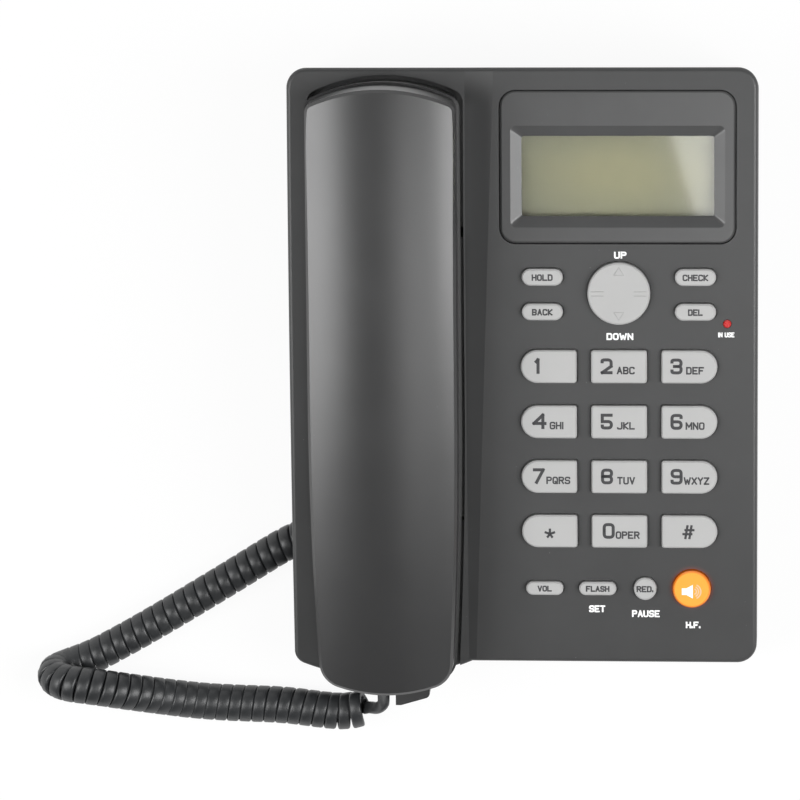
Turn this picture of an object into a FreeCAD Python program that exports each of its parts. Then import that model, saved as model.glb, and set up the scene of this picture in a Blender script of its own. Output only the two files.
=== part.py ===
import FreeCAD, Part
import math
import os
import re

import Sketcher
from FreeCAD import Placement, Rotation, Vector

# Corded desk telephone, in millimetres. X runs to the right, Y to the rear and Z up.
# Z is zero on the desk, and X and Y are zero at the middle of the telephone's plan.
# Most pieces lie along the deck: v runs up the deck towards the rear from its middle,
# and n stands square to the straight line from the deck's front edge to its rear edge.

SIZES = {
    # Housing of the base
    "base_width": 165.0,
    "base_length": 211.0,
    "front_height": 26.0,
    "deck_angle": 8.6,
    "deck_crown": 4.0,
    "base_wall": 2.2,
    "foot_height": 2.0,
    "corner_radius": 7.0,
    "cradle_corner": 5.0,
    "edge_radius": 1.5,
    "bulge_width": 63.8,
    "bulge_reach": 6.7,
    "field_edge": -13.6,
    "field_slope": 6.3,
    "field_step_rear": 1.6,
    "field_step_front": 0.4,
    # Cradle
    "cradle_gap": 0.4,
    "trough_depth": 2.0,
    "well_depth": 8.0,
    "ear_step": 49.0,
    "mouth_step": 57.0,
    "step_run": 2.6,
    "rest_gap": 0.3,
    # Display
    "panel_x": 33.6,
    "panel_v": 71.8,
    "panel_width": 82.3,
    "panel_depth": 53.5,
    "panel_thickness": 4.0,
    "panel_radius": 5.5,
    "panel_gap": 0.35,
    "panel_chamfer": 0.7,
    "bevel_width": 75.0,
    "bevel_depth": 35.8,
    "bevel_drop": 2.2,
    "bevel_corner": 2.0,
    "view_width": 67.3,
    "view_depth": 28.2,
    "view_shift": -3.3,
    "view_corner": 0.8,
    "view_room": 1.0,
    "window_thickness": 1.2,
    "window_lap": 2.0,
    "window_corner": 1.0,
    "window_fit": 0.1,
    "lcd_lap": 3.0,
    "lcd_thickness": 2.8,
    "lcd_fit": 0.2,
    "lcd_face_gap": 0.1,
    "lcd_ledge": 2.0,
    "holder_wall": 3.2,
    "holder_floor": 1.0,
    # Keys
    "key_gap": 0.35,
    "key_rise": 2.2,
    "key_travel": 1.2,
    "key_chamfer": 0.5,
    "flange_lip": 1.0,
    "flange_thickness": 1.2,
    "flange_gap": 0.1,
    "stem_half": 1.6,
    "stem_gap": 0.2,
    "dial_x": 34.0,
    "dial_v": 1.5,
    "dial_pitch_x": 24.7,
    "dial_pitch_v": 19.85,
    "dial_width": 19.6,
    "dial_depth": 11.7,
    "dial_corner": 1.0,
    "menu_spread": 26.8,
    "menu_v": 33.3,
    "menu_pitch": 12.3,
    "menu_width": 14.4,
    "menu_depth": 5.9,
    "lower_v": -79.1,
    "lower_width": 13.2,
    "lower_depth": 4.8,
    "volume_x": 7.4,
    "flash_x": 26.2,
    "redial_x": 43.0,
    "redial_radius": 4.0,
    "speaker_key_x": 59.5,
    "speaker_key_radius": 6.7,
    "disc_v": 27.6,
    "disc_radius": 11.0,
    "disc_rise": 2.6,
    "disc_tilt_room": 0.9,
    "disc_stem_reach": 7.0,
    "disc_foot_gap": 0.2,
    "disc_dome_gap": 0.8,
    "lamp_x": 71.9,
    "lamp_v": 16.6,
    "lamp_radius": 1.4,
    "lamp_rise": 0.6,
    "lamp_chamfer": 0.5,
    "lamp_foot_lip": 0.6,
    "lamp_foot_height": 2.0,
    # Boards behind the keys
    "board_level": 10.2,
    "board_thickness": 1.6,
    "board_left": -13.0,
    "board_right": 74.5,
    "board_front": -91.0,
    "board_rear": 88.0,
    "board_post_rear": 42.0,
    "board_post_middle": -28.3,
    "board_post_front": -86.0,
    "board_screw_length": 6.6,
    "membrane_thickness": 1.2,
    "membrane_margin": 2.4,
    "dome_radius": 3.2,
    "dome_height": 1.7,
    "post_inset": 3.5,
    "post_radius": 2.6,
    "pilot_radius": 1.25,
    "screw_radius": 1.2,
    "screw_head_radius": 2.4,
    "screw_head_height": 1.6,
    "board_hole_gap": 0.2,
    # Floor of the base
    "cover_gap": 0.25,
    "cover_thickness": 2.2,
    "cover_rim": 1.6,
    "cover_rim_height": 4.0,
    "boss_radius": 3.2,
    "boss_inset": 9.1,
    "boss_inset_ear": 10.5,
    "boss_inset_mouth": 16.0,
    "boss_inset_rear": 12.0,
    "boss_inset_front": 13.0,
    "screw_gap": 0.25,
    "case_screw_radius": 1.4,
    "case_pilot_radius": 1.45,
    "case_head_radius": 2.9,
    "case_head_height": 1.6,
    "case_head_seat": 1.0,
    "case_screw_length": 12.0,
    "foot_radius": 6.0,
    "foot_taper": 0.6,
    "foot_gap": 0.2,
    "foot_recess": 1.0,
    "foot_inset_x": 14.0,
    "foot_inset_rear": 27.0,
    "foot_inset_front": 24.0,
    "keyhole_spacing": 83.0,
    "keyhole_radius": 4.3,
    "keyhole_slot": 2.2,
    "keyhole_run": 8.0,
    # Main board and sockets
    "main_board_top": 11.6,
    "main_board_left": -62.0,
    "main_board_right": 68.0,
    "main_board_depth": 84.0,
    "main_board_inset": 7.0,
    "main_post_inset": 5.0,
    "main_screw_reach": 4.5,
    "chip_height": 2.4,
    "capacitor_radius": 4.0,
    "capacitor_height": 11.0,
    "line_jack_x": 30.0,
    "line_jack_width": 13.6,
    "line_jack_height": 12.0,
    "line_jack_length": 18.0,
    "line_port_width": 9.8,
    "line_port_height": 6.8,
    "line_port_floor": 4.0,
    "line_jack_sink": 0.2,
    "bay_middle": -61.0,
    "bay_width": 22.0,
    "bay_depth": 22.0,
    "bay_roof": 16.6,
    "jack_width": 11.2,
    "jack_height": 10.4,
    "jack_length": 13.0,
    "jack_gap": 0.2,
    "latch_slot": 1.2,
    "plug_width": 7.65,
    "plug_height": 6.6,
    "plug_length": 11.5,
    "plug_gap": 0.2,
    "plug_end_gap": 0.3,
    "contact_depth": 0.8,
    "latch_drop": 0.9,
    "latch_thickness": 0.7,
    "latch_sink": 0.4,
    "latch_nose": 0.5,
    "plug_out": 3.0,
    "base_plug_y": -59.0,
    "base_plug_z": 9.6,
    # Sound
    "speaker_v": -4.0,
    "speaker_radius": 20.0,
    "speaker_depth": 12.5,
    "speaker_rim": 2.0,
    "ring_wall": 2.5,
    "ring_lip": 1.5,
    "seat_gap": 0.3,
    "slot_width": 1.6,
    "slot_length": 24.0,
    "slot_pitch": 4.2,
    "base_mic_x": 40.0,
    "base_mic_z": 14.6,
    "mic_radius": 4.85,
    "mic_length": 5.0,
    "boot_wall": 1.3,
    "boot_hole": 2.0,
    "boot_fit": 0.02,
    # Hook
    "hook_v": 58.0,
    "hook_width": 10.0,
    "hook_depth": 6.0,
    "hook_gap": 0.3,
    "hook_travel": 4.0,
    "hook_flange": 1.5,
    "hook_lip": 1.6,
    "hook_corner": 1.5,
    "hook_chamfer": 0.6,
    "hook_switch_corner": 0.8,
    "hook_switch_width": 28.0,
    "hook_switch_depth": 9.0,
    "hook_switch_height": 9.0,
    # Handset
    "handset_x": -47.9,
    "handset_width": 52.2,
    "nose_width": 46.6,
    "handset_rear": 102.6,
    "handset_front": 113.2,
    "rear_arc": 58.0,
    "nose_arc": 58.0,
    "taper_start": -12.0,
    "rear_corner": 3.4,
    "nose_corner": 9.0,
    "handset_top": 31.0,
    "handset_arch": 1250.0,
    "handset_crown": 3.6,
    "split_level": 13.0,
    "rim_reach": 0.9,
    "shell_wall": 2.0,
    "shell_edge": 1.0,
    "draft_angle": 6.0,
    "handle_level": 8.4,
    "ear_cup_start": 52.0,
    "mouth_cup_start": 60.0,
    "cup_run": 6.0,
    "chin_left": -54.0,
    "chin_right": -33.5,
    "chin_reach": 6.8,
    "chin_slant": 3.0,
    "chin_corner": 2.0,
    "chin_top": 9.0,
    "chin_bottom": -2.0,
    "notch_gap": 0.9,
    "port_gap": 0.4,
    "latch_room": 1.4,
    "ear_v": 80.0,
    "dish_radius": 18.0,
    "dish_depth": 1.0,
    "receiver_radius": 15.0,
    "receiver_height": 7.0,
    "receiver_rim": 1.6,
    "mouth_v": -84.0,
    "sound_hole": 0.9,
    "ear_hole_ring": 6.0,
    "mouth_hole_pitch": 4.0,
    "tab_height": 2.0,
    "tab_wall": 1.2,
    "tab_length": 8.0,
    "tab_pitch": 36.0,
    "tab_gap": 0.4,
    "handset_screw_rear": 57.0,
    "handset_screw_spread": 14.0,
    "handset_screw_front": -65.5,
    "handset_boss": 3.4,
    "handset_pilot": 1.3,
    "handset_screw_radius": 1.25,
    "handset_screw_length": 9.0,
    "handset_head_radius": 2.5,
    "handset_head_height": 0.9,
    "handset_head_sink": 0.1,
    "weight_length": 64.0,
    "weight_width": 22.0,
    "weight_height": 7.0,
    "weight_chamfer": 0.8,
    "handset_jack_x": -50.4,
    "handset_jack_level": 3.6,
    "handset_plug_reach": 3.4,
    # Handset cord
    "wire_diameter": 3.4,
    "coil_diameter": 13.3,
    "coil_pitch": 4.47,
    "coil_ramp": 7.0,
    "base_tail": 0.5,
    "handset_tail": 17.0,
    "cord_gap": 0.2,
}

# The cord's middle line from the base's plug to the handset's plug: x, y from the base's
# middle, and z. The line bends past each point as a smooth curve.
CORD_ROUTE = [
    (-72.5, -59.2, 9.2), (-86.0, -64.4, 7.8), (-103.5, -75.4, 7.4), (-122.2, -86.8, 7.0),
    (-136.8, -95.5, 6.9), (-150.0, -102.9, 6.9), (-158.7, -107.4, 6.9), (-166.8, -110.5, 6.9),
    (-170.7, -112.0, 10.7), (-170.0, -114.1, 16.1), (-165.0, -115.4, 19.9), (-156.3, -116.4, 20.2),
    (-147.8, -117.8, 18.2), (-139.6, -119.3, 14.8), (-130.6, -120.9, 11.0), (-118.6, -122.6, 7.9),
    (-105.6, -123.4, 6.9), (-88.1, -123.8, 6.9), (-74.3, -125.6, 6.9), (-65.9, -126.1, 7.8),
    (-60.2, -124.6, 11.0), (-56.1, -123.4, 17.0), (-52.8, -123.2, 23.5),
]

# Sizes that follow from those above, each written once as a rule.
DERIVED = {
    "deck_chord": "base_length / cos(deck_angle)",
    "deck_radius": "(deck_chord^2 / 4 + deck_crown^2) / (2 * deck_crown)",
    "chin_tip": "handset_front + rim_reach + chin_reach",
    "rear_wall": "(base_length / 2 + chin_tip * cos(deck_angle) + chin_top * sin(deck_angle)) / 2",
    "front_wall": "rear_wall - base_length",
    "mid_y": "rear_wall - base_length / 2",
    "mid_z": "front_height + base_length / 2 * tan(deck_angle)",
    "bulge_radius": "((bulge_width / 2)^2 + bulge_reach^2) / (2 * bulge_reach)",
    "stem_tip": "-board_level + membrane_thickness + dome_height + key_travel + stem_gap",
    "cover_top": "foot_height + cover_thickness",
    "bay_inner": "-base_width / 2 + bay_depth",
    "jack_low": "handset_jack_level - jack_height / 2",
    "jack_lean": "(split_level - jack_low) * tan(draft_angle)",
    "jack_reach": "handset_x - handset_jack_x + jack_width / 2",
    "jack_bow": "nose_arc - sqrt(nose_arc^2 - jack_reach^2) + seat_gap",
    "jack_face": "-handset_front - rim_reach + shell_wall + jack_lean + jack_bow + seat_gap",
}

doc = FreeCAD.newDocument("desk_telephone")
sheet = doc.addObject("Spreadsheet::Sheet", "sizes")
for row, (alias, number) in enumerate(SIZES.items(), start=1):
    sheet.set(f"A{row}", alias)
    sheet.set(f"B{row}", str(number))
    sheet.setAlias(f"B{row}", alias)
doc.recompute()

parts = []


def linked(rule):
    """The rule with its names written as cells of the sheet, ready for an expression."""

    def swap(match):
        word = match.group()
        if word in SIZES:
            return "sizes." + word
        if word in DERIVED:
            return "(" + linked(DERIVED[word]) + ")"
        return word

    return re.sub(r"[a-z_]\w*", swap, str(rule))


def value(rule):
    """The number that a rule gives with the sheet's present sizes."""
    return float(sheet.evalExpression(linked(rule)))


def tie(item, **rules):
    """Bind properties of an object to rules on the sheet."""
    for name, rule in rules.items():
        item.setExpression(name, linked(rule))


def rise(v):
    """Height of the deck's surface over its straight line, at v."""
    return f"(sqrt(deck_radius^2 - ({v})^2) - deck_radius + deck_crown)"


def deck_frame(x="0", v="0", n="0"):
    """Placement of a piece that lies along the deck."""
    turn = Rotation(Vector(1, 0, 0), value("deck_angle"))
    start = Vector(0, value("mid_y"), value("mid_z"))
    return Placement(start + turn.multVec(Vector(value(x), value(v), value(n))), turn)


def surface_frame(x, v):
    """Placement of a piece that lies flat on the curved deck at v."""
    lean = math.degrees(math.asin(value(v) / value("deck_radius")))
    return deck_frame(x, v, rise(v)) * Placement(Vector(), Rotation(Vector(1, 0, 0), -lean))


def new_body(label, place=None, piece=True):
    """A body for one piece, or for a tool that shapes other pieces."""
    body = doc.addObject("PartDesign::Body", label)
    body.Label = label
    if place is not None:
        body.Placement = place
    if piece:
        parts.append(body)
    return body


def sketch_on(body, name, plane="XY_Plane", level="0"):
    """An empty sketch on one of the body's own planes, raised to a level."""
    profile = body.newObject("Sketcher::SketchObject", name)
    feature = next(f for f in body.Origin.OriginFeatures if f.Role == plane)
    profile.AttachmentSupport = (feature, [""])
    profile.MapMode = "FlatFace"
    profile.setExpression("AttachmentOffset.Base.z", linked(level))
    return profile


def deck_sketch(body, name, level="0"):
    """A sketch along the deck, in a body that stands upright."""
    profile = sketch_on(body, name)
    profile.AttachmentOffset = Placement(Vector(), Rotation(Vector(1, 0, 0), value("deck_angle")))
    tie(profile, **{
        "AttachmentOffset.Rotation.Angle": "deck_angle",
        "AttachmentOffset.Base.y": f"mid_y - ({level}) * sin(deck_angle)",
        "AttachmentOffset.Base.z": f"mid_z + ({level}) * cos(deck_angle)",
    })
    return profile


def side_sketch(body, name):
    """A sketch seen from the side, with v and n as its axes, in a body that stands upright."""
    profile = sketch_on(body, name, "YZ_Plane")
    profile.AttachmentOffset = Placement(Vector(), Rotation(Vector(0, 0, 1), value("deck_angle")))
    tie(profile, **{
        "AttachmentOffset.Rotation.Angle": "deck_angle",
        "AttachmentOffset.Base.x": "mid_y",
        "AttachmentOffset.Base.y": "mid_z",
    })
    return profile


def fix(profile, kind, *target, rule):
    """Add a dimension to a sketch and bind it to a rule."""
    index = profile.addConstraint(Sketcher.Constraint(kind, *target, value(rule)))
    profile.setExpression(f"Constraints[{index}]", linked(rule))


def arc_between(start, end, radius, turn):
    """Arc from start to end, counterclockwise where turn is 1 and clockwise where it is -1."""
    chord = end - start
    height = math.sqrt(max(radius ** 2 - chord.Length ** 2 / 4, 0.0))
    left = Vector(-chord.y, chord.x, 0).normalize()
    centre = (start + end) / 2 + left * height * turn
    first, last = (start, end) if turn > 0 else (end, start)
    begin = math.atan2(first.y - centre.y, first.x - centre.x)
    finish = math.atan2(last.y - centre.y, last.x - centre.x)
    return Part.ArcOfCircle(Part.Circle(centre, Vector(0, 0, 1), radius), begin, finish)


def closed(profile, corners, arcs=None):
    """Draw a closed outline through corners; arcs gives a radius and a turn by side number."""
    arcs = arcs or {}
    points = [Vector(value(x), value(y), 0) for x, y in corners]
    count = len(points)
    sides = []
    for i, start in enumerate(points):
        end = points[(i + 1) % count]
        if i in arcs:
            radius, turn = arcs[i]
            geometry = profile.addGeometry(arc_between(start, end, value(radius), turn))
            sides.append((geometry, 1, 2) if turn > 0 else (geometry, 2, 1))
        else:
            sides.append((profile.addGeometry(Part.LineSegment(start, end)), 1, 2))
    for i, (geometry, first, last) in enumerate(sides):
        following, head, _ = sides[(i + 1) % count]
        profile.addConstraint(Sketcher.Constraint("Coincident", geometry, last, following, head))
        fix(profile, "DistanceX", -1, 1, geometry, first, rule=corners[i][0])
        fix(profile, "DistanceY", -1, 1, geometry, first, rule=corners[i][1])
        if i not in arcs:
            continue
        start, end = points[i], points[(i + 1) % count]
        if 2 * value(arcs[i][0]) - (end - start).Length > 1e-6:
            fix(profile, "Radius", geometry, rule=arcs[i][0])
        elif abs(end.x - start.x) < abs(end.y - start.y):
            fix(profile, "DistanceX", -1, 1, geometry, 3, rule=corners[i][0])
        else:
            fix(profile, "DistanceY", -1, 1, geometry, 3, rule=corners[i][1])


def ring(profile, x, y, radius):
    """Draw a full circle."""
    centre = Vector(value(x), value(y), 0)
    geometry = profile.addGeometry(Part.Circle(centre, Vector(0, 0, 1), value(radius)))
    fix(profile, "Radius", geometry, rule=radius)
    fix(profile, "DistanceX", -1, 1, geometry, 3, rule=x)
    fix(profile, "DistanceY", -1, 1, geometry, 3, rule=y)


def prism(profile, x, y, radius):
    """Draw the six-sided plan of a post about (x, y), out to a radius."""
    closed(profile, [(f"({x}) + ({radius}) * cos({60 * side})", f"({y}) + ({radius}) * sin({60 * side})")
                     for side in range(6)])


def box_outline(profile, left, right, low, high):
    """Draw a rectangle between four rules."""
    closed(profile, [(left, high), (right, high), (right, low), (left, low)])


def cap_outline(profile, width, depth, grow="0", corner="dial_corner", round_left=False,
                round_right=False, x="0", y="0"):
    """Draw a key's plan about (x, y); an end is a half circle or has two small corners."""
    across = f"(({width}) / 2 + ({grow}))"
    along = f"(({depth}) / 2 + ({grow}))"
    small = f"(({corner}) + ({grow}))"
    corners, arcs = [], {}

    def end(side, is_round):
        down = side > 0
        first, last = ("+", "-") if down else ("-", "+")
        inset = along if is_round else small
        sign = "+" if side > 0 else "-"
        edge = f"({x}) {sign} ({across} - {inset})"
        outer = f"({x}) {sign} {across}"
        if is_round:
            arcs[len(corners)] = (along, -1)
            corners.extend([(edge, f"({y}) {first} {along}"), (edge, f"({y}) {last} {along}")])
            return
        arcs[len(corners)] = (small, -1)
        corners.extend([(edge, f"({y}) {first} {along}"),
                        (outer, f"({y}) {first} ({along} - {small})")])
        arcs[len(corners)] = (small, -1)
        corners.extend([(outer, f"({y}) {last} ({along} - {small})"),
                        (edge, f"({y}) {last} {along}")])

    end(1, round_right)
    end(-1, round_left)
    closed(profile, corners, arcs)


def pad(body, name, profile, length, down=False, both_ways=False):
    """Extrude a sketch into solid."""
    feature = body.newObject("PartDesign::Pad", name)
    feature.Refine = False
    feature.Profile = profile
    feature.Reversed = down
    feature.Midplane = both_ways
    tie(feature, Length=length)
    return feature


def pocket(body, name, profile, length, up=False, both_ways=False):
    """Cut a sketch out of the solid, and stop if nothing was cut."""
    before = body.Tip
    feature = body.newObject("PartDesign::Pocket", name)
    feature.Refine = False
    feature.Profile = profile
    feature.Reversed = up
    feature.Midplane = both_ways
    tie(feature, Length=length)
    doc.recompute()
    if before is not None and feature.Shape.Volume >= before.Shape.Volume - 1e-6:
        raise ValueError(f"{body.Label}: {name} cuts nothing")
    return feature


def combine(body, name, tool, kind="Cut"):
    """Cut a tool body out of a body, or keep what both share."""
    feature = body.newObject("PartDesign::Boolean", name)
    feature.Refine = False
    feature.setObjects([tool])
    feature.Type = kind
    doc.recompute()
    return feature


def edges_where(shape, test):
    """Names of the edges of a shape that pass a test."""
    return [f"Edge{i}" for i, edge in enumerate(shape.Edges, start=1) if test(edge)]


def upright_at(spots, reach=0.05):
    """Test for straight upright edges that stand at given places in the body's plan."""

    def test(edge):
        if edge.Curve.TypeId != "Part::GeomLine":
            return False
        low, high = edge.Vertexes[0].Point, edge.Vertexes[-1].Point
        if math.hypot(low.x - high.x, low.y - high.y) > reach:
            return False
        return any(math.hypot(low.x - x, low.y - y) < reach for x, y in spots)

    return test


def dress(body, name, kind, size, test):
    """Round or bevel the edges of the body's last feature that pass a test."""
    doc.recompute()
    base = body.Tip
    names = edges_where(base.Shape, test)
    if not names:
        raise ValueError(f"{body.Label}: {name} finds no edge")
    feature = body.newObject(f"PartDesign::{kind}", name)
    feature.Base = (base, names)
    tie(feature, **{"Radius" if kind == "Fillet" else "Size": size})
    doc.recompute()
    return feature


def normal_z(face):
    """Upward part of a face's outward normal at the middle of its range."""
    u0, u1, v0, v1 = face.ParameterRange
    return face.normalAt((u0 + u1) / 2, (v0 + v1) / 2).z


# Outlines that several pieces share

def bulge_ends(inset):
    """Places where the bulge of the front wall leaves the left wall and joins the front wall."""
    arc = f"(bulge_radius - ({inset}))"
    middle = "(front_wall - bulge_reach + bulge_radius)"
    left = (f"-(base_width / 2 - ({inset}))", f"{middle} - sqrt({arc}^2 - (bulge_width / 2 - ({inset}))^2)")
    right = (f"-base_width / 2 + bulge_width / 2 + sqrt({arc}^2 - ({arc} - bulge_reach)^2)",
             f"front_wall + ({inset})")
    return left, right, arc


def base_outline(profile, inset="0"):
    """Plan of the base, inset from its outer walls; the front wall bulges under the handset."""
    half = f"(base_width / 2 - ({inset}))"
    rear = f"(rear_wall - ({inset}))"
    left, right, arc = bulge_ends(inset)
    closed(profile, [
        (f"-{half}", rear), (half, rear), (half, f"front_wall + ({inset})"), right, left,
    ], arcs={3: (arc, -1)})


def round_base(body, inset):
    """Round the upright corners of a plan made by base_outline."""
    half, rear = value(f"base_width / 2 - ({inset})"), value(f"rear_wall - ({inset})")
    cradle = tuple(value(rule) for rule in bulge_ends(inset)[0])
    three = [(-half, rear), (half, rear), (half, value(f"front_wall + ({inset})"))]
    dress(body, "corners", "Fillet", f"corner_radius - ({inset})", upright_at(three))
    dress(body, "cradle_corner", "Fillet", f"cradle_corner - ({inset})", upright_at([cradle]))


def handset_outline(profile, grow="0", open_front=False, x="0"):
    """Plan of the handset about its own middle line; a cradle's plan runs on past the front."""
    half = f"(handset_width / 2 + ({grow}))"
    nose = f"(nose_width / 2 + ({grow}))"
    rear = f"(rear_arc + ({grow}))"
    front = f"(nose_arc + ({grow}))"
    top = f"(handset_rear - rear_arc + sqrt({rear}^2 - {half}^2))"
    low = f"(nose_arc - handset_front - sqrt({front}^2 - {nose}^2))"
    run = f"(taper_start - {low})"
    sweep = f"(({run}^2 + ({half} - {nose})^2) / (2 * ({half} - {nose})))"
    left = [f"({x}) - {half}", f"({x}) - {nose}"]
    right = [f"({x}) + {half}", f"({x}) + {nose}"]
    if open_front:
        beyond = "-(handset_front + 20)"
        corners = [(left[0], top), (right[0], top), (right[0], "taper_start"), (right[1], low),
                   (right[1], beyond), (left[1], beyond), (left[1], low), (left[0], "taper_start")]
        arcs = {0: (rear, -1), 2: (sweep, -1), 6: (sweep, -1)}
    else:
        corners = [(left[0], top), (right[0], top), (right[0], "taper_start"), (right[1], low),
                   (left[1], low), (left[0], "taper_start")]
        arcs = {0: (rear, -1), 2: (sweep, -1), 3: (front, -1), 4: (sweep, -1)}
    closed(profile, corners, arcs)
    return value(half), value(top), value(nose), value(low)


def deck_cutter(body, name, depth):
    """Cut away all that lies above the deck's arc, lowered by a depth."""
    profile = side_sketch(body, name)
    reach = "(deck_chord / 2 + 20)"
    radius = f"(deck_radius - ({depth}))"
    low = f"(sqrt({radius}^2 - {reach}^2) - deck_radius + deck_crown)"
    closed(profile, [(f"-{reach}", low), (reach, low), (reach, "base_length"),
                     (f"-{reach}", "base_length")], arcs={0: (radius, -1)})
    return pocket(body, name + "_cut", profile, "base_width + 20", both_ways=True)


def step_tool(label, depth):
    """The space above the lower part of the deck, left of the raised key field."""
    fade = "((field_step_rear - field_step_front) / deck_chord)"
    middle = "((field_step_rear + field_step_front) / 2)"
    place = deck_frame("0", f"-{fade} * deck_radius", f"deck_crown - deck_radius - {middle}")
    body = new_body(label, place, piece=False)
    profile = sketch_on(body, label + "_section", "XZ_Plane")
    level = f"(deck_radius - ({depth}))"
    closed(profile, [
        ("-base_width", level), (f"field_edge - field_slope + ({depth}) * 0.1", level),
        (f"field_edge + field_slope + ({depth}) * 0.1", f"{level} + 2 * {middle}"),
        (f"field_edge + field_slope + ({depth}) * 0.1", f"{level} + 12"),
        ("-base_width", f"{level} + 12"),
    ])
    turn = body.newObject("PartDesign::Revolution", label + "_turn")
    turn.Profile = profile
    turn.ReferenceAxis = (profile, ["H_Axis"])
    turn.Midplane = True
    turn.Angle = 16
    return body


def cradle_tool(label, grow):
    """The space of the trough and its two wells, grown on all sides."""
    body = new_body(label, deck_frame(), piece=False)
    plan = sketch_on(body, label + "_plan", level="-30")
    spread = f"rim_reach + cradle_gap + ({grow})"
    half, top, _, _ = handset_outline(plan, spread, open_front=True, x="handset_x")
    pad(body, label + "_space", plan, "60")
    middle = value("handset_x")
    dress(body, label + "_corners", "Fillet", f"rear_corner + {spread}",
          upright_at([(middle - half, top), (middle + half, top)]))
    floor = sketch_on(body, label + "_floor", "YZ_Plane")
    well, trough = f"-(well_depth + ({grow}))", f"-(trough_depth + ({grow}))"
    closed(floor, [
        ("-(handset_front + 25)", well), (f"-mouth_step + ({grow})", well),
        (f"-mouth_step + step_run + ({grow})", trough), (f"ear_step - step_run - ({grow})", trough),
        (f"ear_step - ({grow})", well), ("handset_rear + 25", well),
        ("handset_rear + 25", "-40"), ("-(handset_front + 25)", "-40"),
    ])
    pocket(body, label + "_under", floor, "2 * base_width", both_ways=True)
    return body


def display_tool(label, depth, grow):
    """The space of the display panel, sunk square to the deck's surface."""
    body = new_body(label, surface_frame("panel_x", "panel_v"), piece=False)
    plan = sketch_on(body, label + "_plan", level=f"-({depth})")
    cap_outline(plan, "panel_width", "panel_depth", grow, "panel_radius")
    pad(body, label + "_space", plan, "30")
    return body


# Top housing: the moulded shell with the deck, the cradle and every opening

def build_housing_hollow():
    """The space inside the housing's walls."""
    body = new_body("housing_hollow", piece=False)
    plan = sketch_on(body, "hollow_plan")
    base_outline(plan, "base_wall")
    pad(body, "hollow_block", plan, "mid_z + base_length / 2")
    round_base(body, "base_wall")
    deck_cutter(body, "hollow_deck", "base_wall")
    combine(body, "hollow_step", step_tool("step_inner", "base_wall"))
    combine(body, "hollow_cradle", cradle_tool("cradle_outer", "base_wall"))
    tray = display_tool("display_outer", "panel_thickness + base_wall", "panel_gap + base_wall")
    combine(body, "hollow_display", tray)
    bay = sketch_on(body, "hollow_bay_plan")
    box_outline(bay, "-base_width", "bay_inner + base_wall",
                "mid_y + bay_middle - bay_width / 2 - base_wall",
                "mid_y + bay_middle + bay_width / 2 + base_wall")
    pocket(body, "hollow_bay", bay, "bay_roof + base_wall", up=True)
    return body


def key_places():
    """Name, x, v and kind of each key that slides."""
    places = []
    rows = [("1", "2", "3"), ("4", "5", "6"), ("7", "8", "9"), ("star", "0", "hash")]
    for row, names in enumerate(rows):
        for column, name in enumerate(names):
            places.append((f"key_{name}", f"dial_x + {column - 1} * dial_pitch_x",
                           f"dial_v - {row} * dial_pitch_v", ("left", "middle", "right")[column]))
    for name, side, row in (("hold", -1, 0), ("check", 1, 0), ("back", -1, 1), ("delete", 1, 1)):
        places.append((f"{name}_key", f"dial_x + {side} * menu_spread",
                       f"menu_v - {row} * menu_pitch", "menu"))
    places.append(("volume_key", "volume_x", "lower_v", "lower"))
    places.append(("flash_key", "flash_x", "lower_v", "lower"))
    places.append(("redial_key", "redial_x", "lower_v", "redial"))
    places.append(("speaker_key", "speaker_key_x", "lower_v", "speaker"))
    return places


KEY_SIZES = {
    "left": ("dial_width", "dial_depth", True, False),
    "middle": ("dial_width", "dial_depth", False, False),
    "right": ("dial_width", "dial_depth", False, True),
    "menu": ("menu_width", "menu_depth", True, True),
    "lower": ("lower_width", "lower_depth", True, True),
}
KEY_RADII = {"redial": "redial_radius", "speaker": "speaker_key_radius"}


def key_shape(profile, kind, grow, x="0", v="0"):
    """Draw the plan of one kind of key."""
    if kind in KEY_RADII:
        ring(profile, x, v, f"{KEY_RADII[kind]} + ({grow})")
        return
    width, depth, round_left, round_right = KEY_SIZES[kind]
    cap_outline(profile, width, depth, grow, round_left=round_left, round_right=round_right, x=x, y=v)


def row_pattern(body, profile, opening, name):
    """Repeat an opening down the four rows of dial keys."""
    pattern = body.newObject("PartDesign::LinearPattern", name)
    pattern.Refine = False
    pattern.Originals = [opening]
    pattern.Direction = (profile, ["V_Axis"])
    pattern.Reversed = True
    pattern.Occurrences = 4
    tie(pattern, Length="3 * dial_pitch_v")
    body.Tip = pattern


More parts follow.
